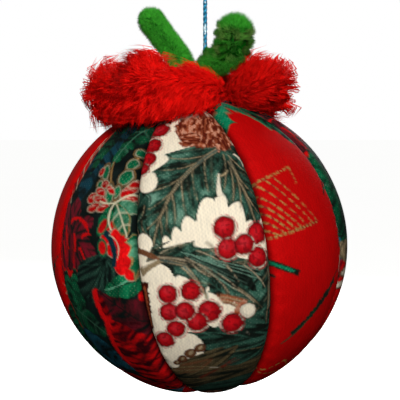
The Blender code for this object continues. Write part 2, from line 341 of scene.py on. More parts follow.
class PrintedCloth:
    """Places on the cloth in millimetres, a across and b up, and the dye at each of them."""

    def __init__(self, a, b, ground, seed):
        self.a, self.b, self.seed = a, b, seed
        self.dye = np.tile(ground, (len(a), 1))
        self.flat = np.stack((a, b), -1)
        self.fine = noise(self.flat, 0.5, seed + 1)
        self.blot = noise(self.flat, 2.4, seed + 2)
        # the print's edges wander a little, as ink does on the weave
        self.wobble = 0.09 * self.fine + 0.07 * noise(self.flat, 1.5, seed + 3)

    def lay(self, paint, share):
        """Covers the dye with a paint, by the share at each place."""
        self.dye += (paint - self.dye) * share[:, None]

    def turned(self, centre, turn):
        """Places from a centre, along axes that are turned by degrees."""
        c, s = math.cos(math.radians(turn)), math.sin(math.radians(turn))
        x, y = self.a - centre[0], self.b - centre[1]
        return x * c + y * s, y * c - x * s

    def chart(self, draw, rows, *same):
        """Draws each row of a chart with one of the tools below, the last values the same for all."""
        for row in rows:
            draw(*row, *same)

    def cover(self, distance, edge=0.28):
        """1 inside a shape and 0 outside, from the signed distance to its edge."""
        return clamp(0.5 - (distance + self.wobble) / edge)

    def stroke(self, base, tip, width, paint, bend=0.0, taper=0.6, ragged=0.0):
        """A tapering line."""
        share, side, length = beside(self.a, self.b, base, tip, bend)
        half = width / 2 * (1 - taper * clamp(share)) * (1 + ragged * self.fine)
        self.lay(paint, self.cover(np.maximum(np.abs(side) - half, past_ends(share, length))))

    def line(self, base, tip, width, paint, bend=0.0, strength=0.8):
        """A fine line with soft sides that thins out and breaks a little towards its tip."""
        share, side, length = beside(self.a, self.b, base, tip, bend)
        half = np.maximum(width / 2 * (1.2 - 0.5 * clamp(share)), 0.16)
        ends = clamp((0.5 - np.abs(share - 0.5)) * length / 0.5 + 0.5)
        broken = clamp(1.1 - 0.5 * share + 0.7 * self.fine + 0.6 * self.blot)
        self.lay(paint, fade(side + 0.6 * self.wobble, half) * ends * broken * strength)

    def dashes(self, base, tip, width, paint, period=1.7, filled=0.62):
        """A line of short dashes."""
        share, side, length = beside(self.a, self.b, base, tip)
        gap = (np.abs((share * length / period) % 1.0 - 0.5) - filled / 2) * period
        outside = past_ends(share, length)
        self.lay(paint, self.cover(np.maximum.reduce((np.abs(side) - width / 2, gap, outside))) * 0.85)

    def oval(self, centre, wide, tall, turn, paint, rings=()):
        """A mottled oval with lines round it, each line a colour and how far out it reaches."""
        x, y = self.turned(centre, turn)
        distance = (np.hypot(x / wide, y / tall) - 1) * min(wide, tall)
        for line, reach in rings:
            self.lay(line, self.cover(distance - reach))
        mottle = 0.04 if min(paint) > 0.3 else 0.3
        mottled = paint * (1 + mottle * (self.fine + self.blot))[:, None]
        self.lay(clamp(mottled), self.cover(distance))

    def berry(self, centre, radius):
        """A round berry: thin pinkish and red rings, a dark stippled rim with a broken pale line to
        the lower right, crimson flesh with a fine dark net and a lighter patch up and to the left."""
        x, y = self.a - centre[0], self.b - centre[1]
        radius = radius * 1.1
        reach = np.hypot(x, y)
        ring = clamp(1 - np.abs(reach - radius - 0.24) / 0.24)
        self.lay(BERRY_PINK * 0.8, ring * np.clip(0.35 + 0.6 * self.fine, 0, 0.55))
        self.lay(BERRY_DARK * 0.8, self.cover(reach - radius, 0.34))
        self.lay(BERRY_RED * 0.55, self.cover(reach - radius + 0.34 + 0.2 * self.fine, 0.5))
        light = np.hypot(x + 0.15 * radius, y - 0.2 * radius) / radius
        inner = self.cover(reach - radius + 0.5, 0.7)
        self.lay(BERRY_RED * 1.15, clamp(1.35 - light * 1.35) * inner)
        self.lay(BERRY_PINK * 0.7, np.clip(0.3 - light * 0.6 + 0.3 * self.blot, 0, 0.35) * inner)
        self.lay(BERRY_DARK, np.clip(-1.1 * self.fine - 0.05, 0, 0.55) * inner)
        pale = fade(reach - radius + 0.12, 0.17) * np.clip(0.35 + 0.5 * (x - y) / radius, 0, 0.8)
        self.lay(CREAM * 0.8, pale * clamp(0.5 + 0.9 * self.fine))
        outer = fade(reach - radius - 0.25, 0.17)
        self.lay(BERRY_RED * 0.8, outer * np.clip(0.2 + 0.6 * self.fine, 0, 0.5))

    def leaf_form(self, base, tip, places, bend, bay, start, slant):
        """A leaf or petal charted by its midrib and by places on its edge, which runs between them
        in bays (bay above 0) or bulges (below 0). Veins slant forward from the midrib to each
        place. Returns the share of the way along, the distances from the midrib, to the edge
        (minus inside) and to the nearest vein, and the length along the slant."""
        share, side, length = beside(self.a, self.b, base, tip, bend)
        far, wide, _length = beside(*np.transpose(np.array(places, float)), base, tip, bend)
        away = np.abs(side)
        slanted = share - slant * away / length
        edge = np.zeros(len(share))
        vein = np.full(len(share), 9.0)
        for half in (-1, 1):
            mine = wide * half > 0
            knots = far[mine] - slant * np.abs(wide[mine]) / length
            order = np.argsort(knots)
            s = np.concatenate(([min(-0.03, knots.min() - 0.12)], knots[order], [1.0]))
            w = np.concatenate(([start], np.abs(wide[mine])[order], [0.0]))
            place = np.linspace(0, len(s) - 1, 16 * (len(s) - 1) + 1)
            chord = np.interp(place, np.arange(len(s)), w)
            gap = np.diff(s)[np.minimum(place.astype(int), len(s) - 2)] * length
            dip = np.minimum(abs(bay) * gap, 0.45 * chord + 0.1) * np.sign(bay)
            dip = dip * 4 * (place % 1) * (1 - place % 1)
            here = side * half >= 0
            edge[here] = np.interp(slanted[here], np.interp(place, np.arange(len(s)), s), chord - dip)
            for knot in knots:
                gap = np.abs(slanted[here] - knot) * length / math.hypot(1, slant)
                vein[here] = np.minimum(vein[here], gap)
        shape = np.maximum(away - edge, past_ends(share, length))
        return share, away, shape, vein, slanted * length

    def holly_leaf(self, base, tip, places, bend=0.0, tone=1.0, start=1.0, veined=1.0):
        """A spiny leaf: dark beside its veins and at its base, mottled teal towards its edge, with
        thin broken tan lines on the veins. Its midrib is a grey band that narrows towards the tip
        between two broken tan lines."""
        share, away, shape, vein, slanted = self.leaf_form(base, tip, places, bend, 0.24, start, VEIN_SLANT)
        body = self.cover(shape, 0.3)
        streak = noise(np.stack((slanted, away * 0.3), -1), 0.5, self.seed + 4)
        blotch = noise(self.flat, 1.3, self.seed + 5)
        light = 0.1 + 0.34 * clamp(vein / 1.5) + 0.34 * self.blot + 0.3 * streak + 0.24 * blotch
        light *= (0.5 + 0.75 * share) * clamp(0.45 + away / 5.0)
        light += 0.34 * fade(shape, 1.5) * clamp(0.5 + 1.6 * self.blot)
        light = clamp(tone * light + 0.14 * self.fine)
        green = LEAF_DARK + (LEAF_TEAL - LEAF_DARK) * clamp(light * 2.0)[:, None]
        self.lay(green + (LEAF_LIGHT - green) * np.clip(light * 1.9 - 0.8, 0, 0.9)[:, None], body)
        self.lay(LEAF_DARK, fade(shape + 0.25, 0.22) * np.clip(0.45 + self.blot, 0, 0.8))
        kept = body * clamp(0.9 + 1.1 * self.blot + 0.7 * self.fine - away * 0.09) * veined
        self.lay(LEAF_DARK, fade(vein - 0.4, 0.4) * kept * 0.6)
        self.lay(VEIN_TAN * tone, fade(vein, 0.24) * kept * 0.65)
        spread = 0.36 * (1.1 - clamp(share)) ** 1.5
        self.lay(LEAF_DARK * 0.8, fade(away, spread + 0.6) * body * 0.75)
        band = fade(away, spread + 0.1) * body
        self.lay(VEIN_GREY * tone, band * np.clip(0.9 - share, 0, 0.75))
        broken = np.clip(0.55 + 0.3 * self.fine + 0.4 * self.blot, 0.1, 0.75)
        self.lay(VEIN_TAN * tone, fade(away - spread, 0.19) * body * broken)

    def soft_leaf(self, base, tip, places, dark, light, level=0.45, bend=0.0, rim=None, line=None, bay=-0.12,
                  start=0.4, lean=0.45):
        """A smooth leaf or petal with fine streaks, from dark to light about a level, and where
        given a coloured rim and midrib line. The streaks leave the midrib level for a lean of 0 and
        close along it for a high one. A place that is one number stands for a pair at that half
        width, a third and two thirds of the way along."""
        if np.isscalar(places):
            run = np.subtract(tip, base)
            across = np.array((-run[1], run[0])) / math.hypot(*run) * places
            places = [np.add(base, run * s) + across * k for s in (0.38, 0.72) for k in (1.5 - s, s - 1.5)]
        share, away, shape, vein, _slanted = self.leaf_form(base, tip, places, bend, bay, start, 0.45)
        body = self.cover(shape, 0.26)
        length = math.dist(base, tip)
        crossing = (share * length - lean * away) / math.hypot(1, lean)
        streak = noise(np.stack((crossing, away * 0.2), -1), 0.62, self.seed + 6)
        lit = clamp(level + 0.75 * streak + 0.3 * self.blot + 0.15 * self.fine)
        self.lay(dark + (light - dark) * lit[:, None], body)
        if rim is not None:
            self.lay(rim, self.cover(np.abs(shape + 0.2) - 0.1) * 0.9)
        if line is not None:
            self.lay(line, fade(away, 0.2) * body * 0.9)
            self.lay(line, fade(vein, 0.22) * body * 0.6)

    def needles(self, base, heading, spread, count, length, dark, light):
        """A tuft of needles: thin rays from one point, each with its own length and green."""
        x, y = self.a - base[0], self.b - base[1]
        reach = np.hypot(x, y)
        turn = (np.degrees(np.arctan2(y, x)) - heading + 180) % 360 - 180
        beat = (turn / spread + 0.5) * count
        ray = np.clip(np.floor(beat), 0, count - 1)
        roll = np.abs(np.sin(ray * 12.9898 + self.seed)) * 437.5 % 1.0
        away = np.abs(beat - ray - 0.3 - 0.4 * roll) / count * math.radians(spread) * reach
        shape = np.maximum(away - 0.22 * (1.2 - reach / length), reach - length * (0.55 + 0.45 * roll))
        shape = np.where(np.abs(turn) < spread / 2, shape, 9.0)
        self.lay(dark + (light - dark) * (roll * 1.9 % 1.0)[:, None], self.cover(shape))

    def pine_cone(self, centre, wide, tall, turn, rows=5):
        """A cone seen from its side: long strokes along its slanting scales, brown in the gaps and
        pinkish at their lips, that break off from one row to the next."""
        x, y = self.turned(centre, turn)
        shape = (np.hypot(x / wide, y / tall) - 1) * min(wide, tall)
        body = self.cover(shape + 0.35 * self.fine, 0.4)
        row = np.floor((y + 0.5 * self.blot) * rows / (2 * tall) + 0.3 * np.sin(1.3 * x))
        slanted = x * 0.95 + 0.55 * y + 1.7 * row
        scale = noise(np.stack((slanted, y * 0.5 + 0.3 * row), -1), 0.62, self.seed + 7)
        lip = noise(np.stack((slanted, y * 0.4 + 0.3 * row), -1), 0.36, self.seed + 8)
        tone = clamp(0.5 + 1.1 * scale + 0.5 * lip)[:, None]
        self.lay(CONE_DARK + (CONE_BROWN - CONE_DARK) * tone, body)
        self.lay(CONE_LIGHT, np.clip(1.5 * scale + 1.1 * lip - 0.25, 0, 0.8) * body)
        self.lay(CONE_DARK * 0.8, self.cover(np.abs(shape + 0.1) - 0.12) * np.clip(0.4 + scale, 0, 0.7))


def print_holly(cloth):
    """Cream cotton with holly leaves, red berries and cones."""
    leaf, soft = cloth.holly_leaf, cloth.soft_leaf
    # the dark foliage at the foot, with its brown and olive streaks
    soft((22, -9.5), (-3.5, -36), ((-0.8, -14), (-1.7, -17.9), (-4.4, -25), (22, -24), (12, -36)),
         LEAF_DARK * 0.8, LEAF_TEAL * 0.75, 0.45, 0, bay=0.08, start=7)
    soft((14, -18.4), (-5.1, -13.9), ((-2.3, -16.2), (-1.6, -19), (5, -22.4), (0.2, -12.7), (3, -14.5),
                                      (7.4, -15.6)), LEAF_DARK * 0.9, LEAF_TEAL * 0.7, 0.35, 0.5, bay=0.1,
         start=2.4, lean=3)
    soft((22, -25), (-18, -33), 7, LEAF_DARK * 0.9, OLIVE * 0.8, 0.45, 1, start=5, lean=5)
    soft((15, -20), (-4, -24.4), 3, LEAF_DARK * 0.9, LEAF_TEAL * 0.7, 0.4, 1.2, start=1, lean=4)
    soft((6, -19.4), (-12.6, -29.4), 2.7, LEAF_DARK, OLIVE * 0.95, 0.5, 0.6, start=0.1, lean=4)
    soft((0, -22.4), (-10.6, -27.6), 1.7, OLIVE * 0.6, TWIG_BROWN * 0.7, 0.4, 0.4, start=0.1, lean=3)
    cloth.chart(cloth.line, (
        ((-10.2, -26.4), (4.4, -28), 0.7, OLIVE * 1.3, 1),
        ((-8, -24.8), (1.6, -26.6), 0.5, OLIVE * 1.5, 0.7),
        ((-3.6, -30), (6, -24), 0.8, CONE_DARK * 1.3, 0.4),
        ((1.6, -26.4), (5.2, -23.4), 0.7, CONE_DARK * 1.6, 0.2),
        ((-6, -28.6), (9, -27), 0.5, LEAF_DARK * 0.5, 1.2),
        ((2.6, -19.6), (13.4, -19.8), 0.6, LEAF_TEAL * 0.9, 0.8),
        ((1, -17), (13.6, -15.8), 0.6, LEAF_DARK * 0.4, 0.8),
        ((-1, -22.6), (11, -22.8), 0.5, LEAF_DARK * 0.5, 0.9),
        ((-1, -25.8), (1.2, -26.2), 0.4, CREAM * 0.45, 0.1),
        ((8.2, -16), (8.8, -16.8), 0.4, CREAM * 0.4, 0), ((-2, -14.4), (10, -18.6), 0.4, LEAF_TEAL, 0.8),
        ((4, -21.4), (14, -22.6), 0.4, OLIVE * 1.2, 0.6),
    ), 0.85)
    # the leaves that fill the far ends of the cut
    soft((16, -35), (-14, -44), 5.4, LEAF_DARK, LEAF_TEAL * 0.6, 0.4, 0, start=3, lean=4)
    leaf((4, -40), (-5, -58), ((-4, -43), (-6.5, -48), (7, -47), (3, -53)), 1)
    leaf((-2.5, 44), (-13, 31), ((-8.5, 43), (-12, 38.5), (-3, 37.5), (-7.4, 33.6)), 0.5, 0.9)
    leaf((1, 62), (7, 42.5), ((-4, 56), (-2, 49), (9.5, 57), (10.5, 49)), -0.8)
    cloth.pine_cone((-3, -44), 4.6, 4, 20)
    # the leaf at the left seam, the right leaf and the great leaf
    soft((-9.4, 20.4), (-15.6, 4.6), ((-15.4, 19.4), (-18.4, 15), (-18.4, 9), (-7.8, 13.4), (-9.2, 8.6)),
         LEAF_DARK * 0.8, LEAF_TEAL * 0.8, 0.35, 0.3, bay=0.1, start=3, lean=1.5)
    leaf((7.6, 27.6), (13.4, 6.4), ((4.4, 15), (7.3, 12.8), (10.8, 8.9), (14.6, 24), (18.4, 16), (18, 9)),
         0.7, 0.66, 4.4, 0.2)
    leaf((7.2, 27.4), (-10.4, 4.6), ((-5.3, 27.6), (-8.5, 23.3), (-11.4, 18.6), (-12.8, 12), (4.6, 14.6),
                                     (0, 10.3), (-3.4, 9), (-5.6, 7), (-7.9, 5.4)), -3.2, 0.95, 4.2, 0.15)
    for base, tip, bend in (
        ((1.2, 24), (-6.4, 23.4), 0.5), ((-1.4, 21.4), (-9, 18.6), 0.6),
        ((-3.8, 18.4), (-10.2, 14.4), 0.4), ((-6, 14.6), (-11, 10), 0.3), ((3.6, 25), (3.4, 16.8), -0.3),
        ((0.6, 22.8), (0.9, 14.8), -0.3), ((-2, 20.2), (-2, 12.4), -0.2),
        ((-4.4, 17.2), (-4.6, 10.6), 0.2), ((4.4, 26.2), (-4, 26.4), 0.7),
        ((-6, 14.8), (-6.8, 9.4), 0.3), ((-7.6, 11.6), (-7.8, 8.2), 0.2), ((8, 25.8), (6.9, 16.6), 0.5),
        ((9, 22), (8.6, 14), 0.4), ((9.4, 23), (13.6, 15), -0.5), ((10.4, 19.6), (10, 11.4), 0.3),
        ((10.8, 18), (14.6, 10.4), -0.4), ((9, 25.4), (14.4, 19.6), -0.5),
    ):
        cloth.line(base, tip, 1, LEAF_DARK * 0.8, bend, 0.45)
        cloth.line(base, tip, 0.26, VEIN_TAN * 1.1, bend, 0.56)
    # the curled outlines on the leaf at the seam
    for base, tip, bend in (
        ((-12.4, 18.6), (-15.2, 15), 1), ((-11, 15.4), (-15, 12), 1.2), ((-12, 12), (-10.2, 8.4), -0.8),
        ((-15.6, 12.6), (-13.2, 8.2), 0.8),
    ):
        cloth.line(base, tip, 0.42, VEIN_TAN * 0.8, bend, 0.7)
    cloth.stroke((5.9, 15.6), (6.3, 20.8), 1.3, CREAM * 0.85, 0.2, 0.85, 0.3)
    cloth.line((8.4, 21.4), (5.6, 20.4), 0.45, VEIN_TAN * 1.3, 0.6)
    cloth.stroke((10.6, 25.6), (12.6, 22.4), 0.6, CREAM * 0.8, 0.2, 0.6)
    cloth.oval((-9.9, 20.9), 2.5, 2.45, 20, CREAM, ((CREAM * 0.5, 0.1),))
    cloth.oval((-12, 7), 1.9, 2.3, 30, CREAM, ((LEAF_DARK, 0.14),))
    # the long leaf across the middle, its bright blade, the dark gap and the needles over it
    leaf((3, 2), (15.4, -9), ((7.4, 3.4), (11, 0.8), (17.5, 0.4), (18.8, -4), (3, -5), (8, -9.6)), 0.6,
         0.8, 2.4, 0.6)
    leaf((15.6, 2), (13, -15), ((18.6, -1), (19, -9), (11, -2.4), (9.4, -7), (9.8, -11.6)), 0.4, 0.6, 1.4,
         0.5)
    soft((12.4, -2.6), (0.8, -4.8), ((1.2, -2.6), (4, -1), (8, 0), (2.8, -6.4), (7, -8), (10.6, -10.4)),
         LEAF_DARK * 0.8, LEAF_TEAL, 0.4, 0.3, bay=0.08, start=2.6, lean=2.4)
    leaf((-11.6, 3.8), (12.4, -10.6), ((-8.6, 5.8), (-5.6, 7.2), (-0.8, 6.6), (4, 4.4), (7.8, 0.2),
                                       (-7, 1.2), (-6, -0.9), (-1.4, -3.6), (5.4, -8.6)), 2.9, 0.85, 0.9,
         0.4)
    soft((3.2, 3), (7.2, -5), 1.8, LEAF_DARK * 0.4, LEAF_DARK * 1.6, 0.4, 0.4)
    soft((7, 0.6), (11.4, -6.4), 1, LEAF_DARK * 0.4, LEAF_DARK * 1.5, 0.4, 0.4)
    leaf((-3.8, 1.4), (0.3, -6.4), ((-3, -2), (-0.9, -4.9), (0.2, 0.6), (1.8, -3.4)), 0.5, 1.5, 0.8, 0.3)
    cloth.needles((-4, 4.6), -32, 24, 8, 19, LEAF_DARK * 0.6, LEAF_LIGHT * 0.8)
    for base, tip, width, bend in (
        ((-11, 4), (8, -6), 0.6, 2.6), ((-3.2, 3.2), (5.2, -5.6), 0.45, 0.9),
        ((-2, 2), (1.6, -1.4), 0.4, -0.4), ((2.4, 4.4), (7.6, -3.4), 0.4, 0.4),
        ((1.6, 6), (4.6, 1.4), 0.4, 0.4), ((9, 0), (13.6, -6), 0.4, 0.5),
        ((-0.6, 4.4), (6.6, -1.2), 0.4, 0.6), ((-8.6, 4.6), (-3.4, 6.2), 0.4, 0.2),
        ((5.8, -4.4), (10.6, -9), 0.4, 0.4),
    ):
        cloth.line(base, tip, width * 2, LEAF_DARK * 0.6, bend, 0.55)
        cloth.line(base, tip, width * 0.7, (VEIN_TAN + CREAM * 0.2) * 0.85, bend, 0.66)
    # the brown twig, the bud and the bark along the left seam
    cloth.stroke((-14.2, 5.6), (-9, 3.2), 1.6, TWIG_BROWN * 0.8, 0.3, 0.5, 0.3)
    cloth.stroke((-13.8, 0.6), (-8.8, 2.9), 1.9, VEIN_TAN * 0.7, 0.2, 0.5, 0.3)
    cloth.line((-13.2, 1.6), (-9.4, 3.4), 0.5, CREAM * 0.8, 0.2)
    cloth.stroke((-13.8, -1.4), (-13.8, -13.5), 3.2, CONE_DARK * 0.6, 0, 0.3, 0.25)
    cloth.stroke((-13.3, -2.4), (-13.2, -12.5), 0.8, CONE_BROWN * 0.7, 0, 0.3, 0.9)
    for step in range(7):
        cloth.line((2.4 + 0.2 * step, -5.6 - 0.34 * step), (9.2 - 0.42 * step, -8.2 - 0.18 * step), 0.6,
                   (TWIG_BROWN, CONE_BROWN, VEIN_TAN)[step % 3], 0.3, 1)
    soft((8.6, -8), (5.6, -11.6), 0.9, CONE_BROWN * 0.9, CONE_LIGHT * 0.8, 0.4, 0.3)
    cloth.oval((8.9, -10.5), 1.75, 1.75, 20, CREAM * 0.72, ((TWIG_BROWN * 0.5, 0.16),))
    cloth.oval((9.1, -10.3), 1.2, 1.2, 20, CREAM * 0.92)
    cloth.oval((3.2, -13), 1, 1.1, -30, CREAM * 0.95, ((LEAF_DARK, 0.12),))
    # the cones
    cloth.pine_cone((4.6, 34.6), 6.9, 6.4, -40, 4)
    cloth.pine_cone((0.9, 31.2), 2.5, 2.3, 40, 3)
    cloth.pine_cone((8.6, 29.6), 2.2, 3.2, -20, 3)
    for centre, size in (((-2.6, -18.7), 1.25), ((-4.9, -20.1), 1.35), ((-6.9, -21.7), 1.15),
                         ((-8.3, -23), 0.8)):
        cloth.oval(centre, size, size * 0.85, 40, TWIG_BROWN * 0.55, ((CONE_DARK * 0.5, 0.16),))
        cloth.oval(np.add(centre, (0.1, 0.15)), size * 0.5, size * 0.3, 60, VEIN_TAN * 0.9)
    cloth.chart(cloth.berry, (
        ((-5.9, 36), 2.3), ((-7.9, 31), 2.2), ((-9.4, 27), 2), ((-10.6, 24.6), 1.5), ((13.2, 6.2), 2.2),
        ((12.6, 1), 2.15), ((6.1, 3.9), 2.2), ((9.9, 4.3), 2.1), ((6, 8.5), 2.3), ((5.2, -13), 2.3),
        ((0.5, -9.3), 2.4), ((-2.4, -11.5), 2.2), ((-8, -4.4), 2.05), ((-2.9, -4.2), 2.05),
        ((-8.2, -8.6), 2), ((-4.7, -8.6), 2.05), ((-7.2, -12.9), 2.05), ((-10.2, -15.7), 2.1),
        ((-6, 48), 2.2), ((-2.4, 50), 2.1), ((-5.6, 52.6), 2.1), ((6.4, -44), 2.1), ((4.4, -48), 2.1),
    ))


def print_poinsettia(cloth):
    """Dark cotton with poinsettias, green leaves and gold-lined sprigs."""
    leaf, red, wine, green, night = cloth.soft_leaf, FLOWER_RED, FLOWER_WINE, FLOWER_GREEN, NIGHT
    cloth.dye *= (1 + 0.5 * cloth.blot)[:, None]
    # the leaves at the head and the red petal along the left seam
    leaf((3, 46), (-6, 16), 3.6, night, NIGHT_TEAL, 0.6, 0.8)
    leaf((-1, 44), (-4, 24), 1.8, night, green * 0.7, 0.4, 0.4)
    leaf((8, 42), (2.4, 25.6), 2, night, green * 0.8, 0.5, -0.6, None, FLOWER_MINT * 0.4)
    leaf((-5, 44), (-13.8, 10), 2.3, wine * 1.5, red * 0.9, 0.75, 0.6, GOLD * 0.6)
    cloth.stroke((-6.4, 36), (-11.4, 22), 0.5, PALE_LINE, 0.5, 0.4, 0.5)
    cloth.stroke((-5.6, 34), (-9.6, 25), 0.4, PALE_LINE * 0.8, 0.4, 0.4, 0.5)
    for step in range(5):
        cloth.line((-7.6 - 0.9 * step, 34 - 3.4 * step), (-5 - 1.1 * step, 30.6 - 3.4 * step), 0.5,
                   PALE_LINE, 0.3)
    leaf((0, 60), (-6, 38), 4, night, green, 0.5, 0.5)
    leaf((6, 62), (4, 46), 3, wine, red, 0.5, 0, red)
    # the wine-red flower on the left
    for tip, half in (
        ((-12.5, 17.5), 2.6), ((-6.2, 18.6), 2.6), ((1.2, 13.4), 2.4), ((-14, 8), 3), ((2.6, 4.6), 2.4),
        ((-13, 0.6), 3), ((-4.6, -1), 2.8),
    ):
        leaf((-6, 8.6), tip, half, night * 1.4, wine * 2.8, 0.45, 0.4, start=0.4, lean=2.4)
    for step in range(9):
        cloth.line((-13.6 + 1.25 * step, 11 - 0.3 * step), (-12.8 + step, -1.4 + 0.5 * (step % 3)), 1,
                   (wine * 2.2, red * 0.75, night)[step % 3], 0.5 - 0.12 * step, 0.85)
    for base, tip, width, bend in (
        ((-12.6, 3.2), (-8.4, 0.2), 1.9, -0.5), ((-8.8, 0.8), (-4.2, 1.4), 1.5, -0.7),
        ((-7.4, 12.4), (-3.2, 13.2), 1.2, 0.5), ((-3.4, 13), (0, 10), 1.2, 0.5),
        ((-9.4, 11.6), (-7.6, 6), 0.8, -0.4), ((-5.4, 9.8), (-5, 5.6), 1, 0.3),
        ((-10.6, 8), (-9.6, 3.6), 0.8, 0.3), ((-2.6, 9), (0.6, 9.6), 1, 0.3),
        ((-3.2, 6.6), (-1.4, 3), 1, 0.4),
    ):
        cloth.stroke(base, tip, width, red * 0.9, bend, 0.5, 0.7)
    # the green leaves under it
    leaf((-5.6, 1.6), (-7.6, -13), 2.2, night, green * 0.9, 0.5, -0.6)
    leaf((-9.8, 1), (-10.6, -16), 2.2, night, green, 0.5, -0.4)
    leaf((6, 4.6), (-3.6, -6.4), ((-3, 3.4), (-5, -1), (7.6, 0.4), (3.4, -4.6)), night, LEAF_TEAL * 0.5,
         0.3, 0.4, start=1.6, lean=1.8)
    for tip in ((-3.4, 2.2), (-4.6, -1.6), (-3.6, -5.8), (-0.4, -5.6), (3, -4.4), (6.4, -0.8)):
        cloth.line((5.2, 4), tip, 0.5, NIGHT * 0.4, 0.5, 0.9)
        cloth.line(np.add((5.2, 3.6), (0.3, 0)), np.add(tip, (0.9, 0.6)), 0.4, LEAF_TEAL * 0.9, 0.5, 0.6)
    leaf((14.4, -1), (3.6, -3.4), ((9.5, 0.3), (6.4, -1.1), (11.6, -4.4), (7.4, -4.5)), green * 0.5,
         green * 1.5, 0.5, -0.4, None, night)
    cloth.stroke((13.4, 0.8), (4, -3), 0.35, FLOWER_MINT, 0.5, 0.4)
    leaf((-10, -8), (0.2, -15), 2.8, night, green * 0.6, 0.4, 0.6, None, FLOWER_MINT * 0.25)
    leaf((-11, -14), (1, -27), 3.4, night, NIGHT_TEAL * 1.6, 0.6, 0.6)
    leaf((-12.6, -20), (-4, -34), 3.4, NIGHT_TEAL * 0.6, NIGHT_TEAL * 2.2, 0.6, 0.6)
    leaf((-9, -28), (6, -43), 4.4, wine * 1.4, red * 0.8, 0.6, 0.4)
    cloth.stroke((-5.6, -31.6), (0.4, -32.6), 0.9, night, 0.3, 0.3, 0.5)
    leaf((1, -38), (9, -44), 1.8, NIGHT_TEAL, NIGHT_TEAL * 2, 0.5, 0.3)
    for spot in ((-11.6, -8), (-11, -12.4), (-12.4, -17), (-11.2, -24), (-10, -29)):
        leaf(np.add(spot, (-1.6, 2.2)), np.add(spot, (0.8, -2.2)), 0.8, wine, red * 0.8, 0.5, 0, GOLD * 0.5)
    leaf((2, -38), (0, -56), 4, night, green * 0.6, 0.5, 0.4)
    leaf((6, -40), (3, -60), 3, wine, red, 0.5, 0.4, red)
    # the great petal: wine red with black streaks above, bright red with dark streaks below
    leaf((11, -42), (0.6, -2.4), ((0.6, -9), (-0.3, -14.7), (-0.4, -22.8), (1, -28.5), (15, -12),
                                  (15.5, -20), (15, -30)), wine * 0.45, red * 0.8, 0.5, -0.4, bay=0.1,
         start=5)
    leaf((14.6, -14), (0.6, -2.4), ((8.2, -4.6), (13.2, -5), (3.4, -10.4), (9, -13.4)), night, wine * 1.7,
         0.4, -0.4, None, night, 0.1, 3)
    cloth.stroke((0.7, -2.8), (2.2, -12.4), 1.8, red * 0.95, -0.8, 0.2, 0.4)
    cloth.stroke((1.4, -11.6), (1.2, -24), 1.3, red * 0.85, -0.7, 0.2, 0.6)
    for base, tip in (
        ((2.6, -11.8), (13, -11.8)), ((1.6, -14.6), (12.6, -13.8)), ((2.4, -17.6), (12, -17)),
        ((1.8, -20.8), (11.6, -19.4)), ((3.2, -24), (11, -22.4)), ((4, -27.4), (10.4, -25.6)),
    ):
        cloth.line(base, tip, 1, wine * 0.4, 0.7, 0.9)
        cloth.line(np.add(base, (1.4, 1.5)), np.add(tip, (-2, 1.4)), 0.5, wine * 0.8, 0.5, 0.6)
    # the red scallops, the curl and the rimmed leaf at the right seam
    cloth.chart(cloth.oval, (
        ((5.4, 11.6), 1.5, 1, 20), ((8.6, 9), 2, 1.6, -40), ((10.6, 6), 2.2, 2.4, 0),
        ((7.6, 6.4), 2, 2, 0), ((10, 2.6), 2.2, 2.2, 20), ((11.4, 0.6), 1.4, 1.6, 10),
        ((5.4, 8.8), 1.4, 1.6, 0),
    ), red, ((PALE_LINE * 0.5, 0.2),))
    cloth.chart(cloth.oval, (
        ((6, 11.4), 1.6, 1, 20), ((8.4, 8.6), 1.9, 1.8, -40), ((9.4, 5.6), 1.9, 2.4, 0),
        ((9.4, 2.6), 1.9, 2.2, 20),
    ), red)
    cloth.stroke((4.6, 10.4), (7.4, 2.2), 1.7, NIGHT_TEAL * 0.5, 1.5, 0.3)
    cloth.stroke((6.2, 9.4), (8.4, 3.8), 0.3, PALE_LINE * 0.8, 1.5, 0.3, 0.5)
    cloth.oval((4.4, 6.6), 1, 1.4, 10, red, ((green * 0.7, 0.5),))
    leaf((12.2, 9.4), (12, -1.6), ((10.4, 7.6), (10.9, 4.6), (11, 1.6), (15, 7.4), (15, 2.4)),
         green * 0.8, FLOWER_MINT * 0.8, 0.4, 0.3, GOLD, None, 0.25)
    cloth.oval((12.6, -5.2), 0.7, 1.3, 0, red)
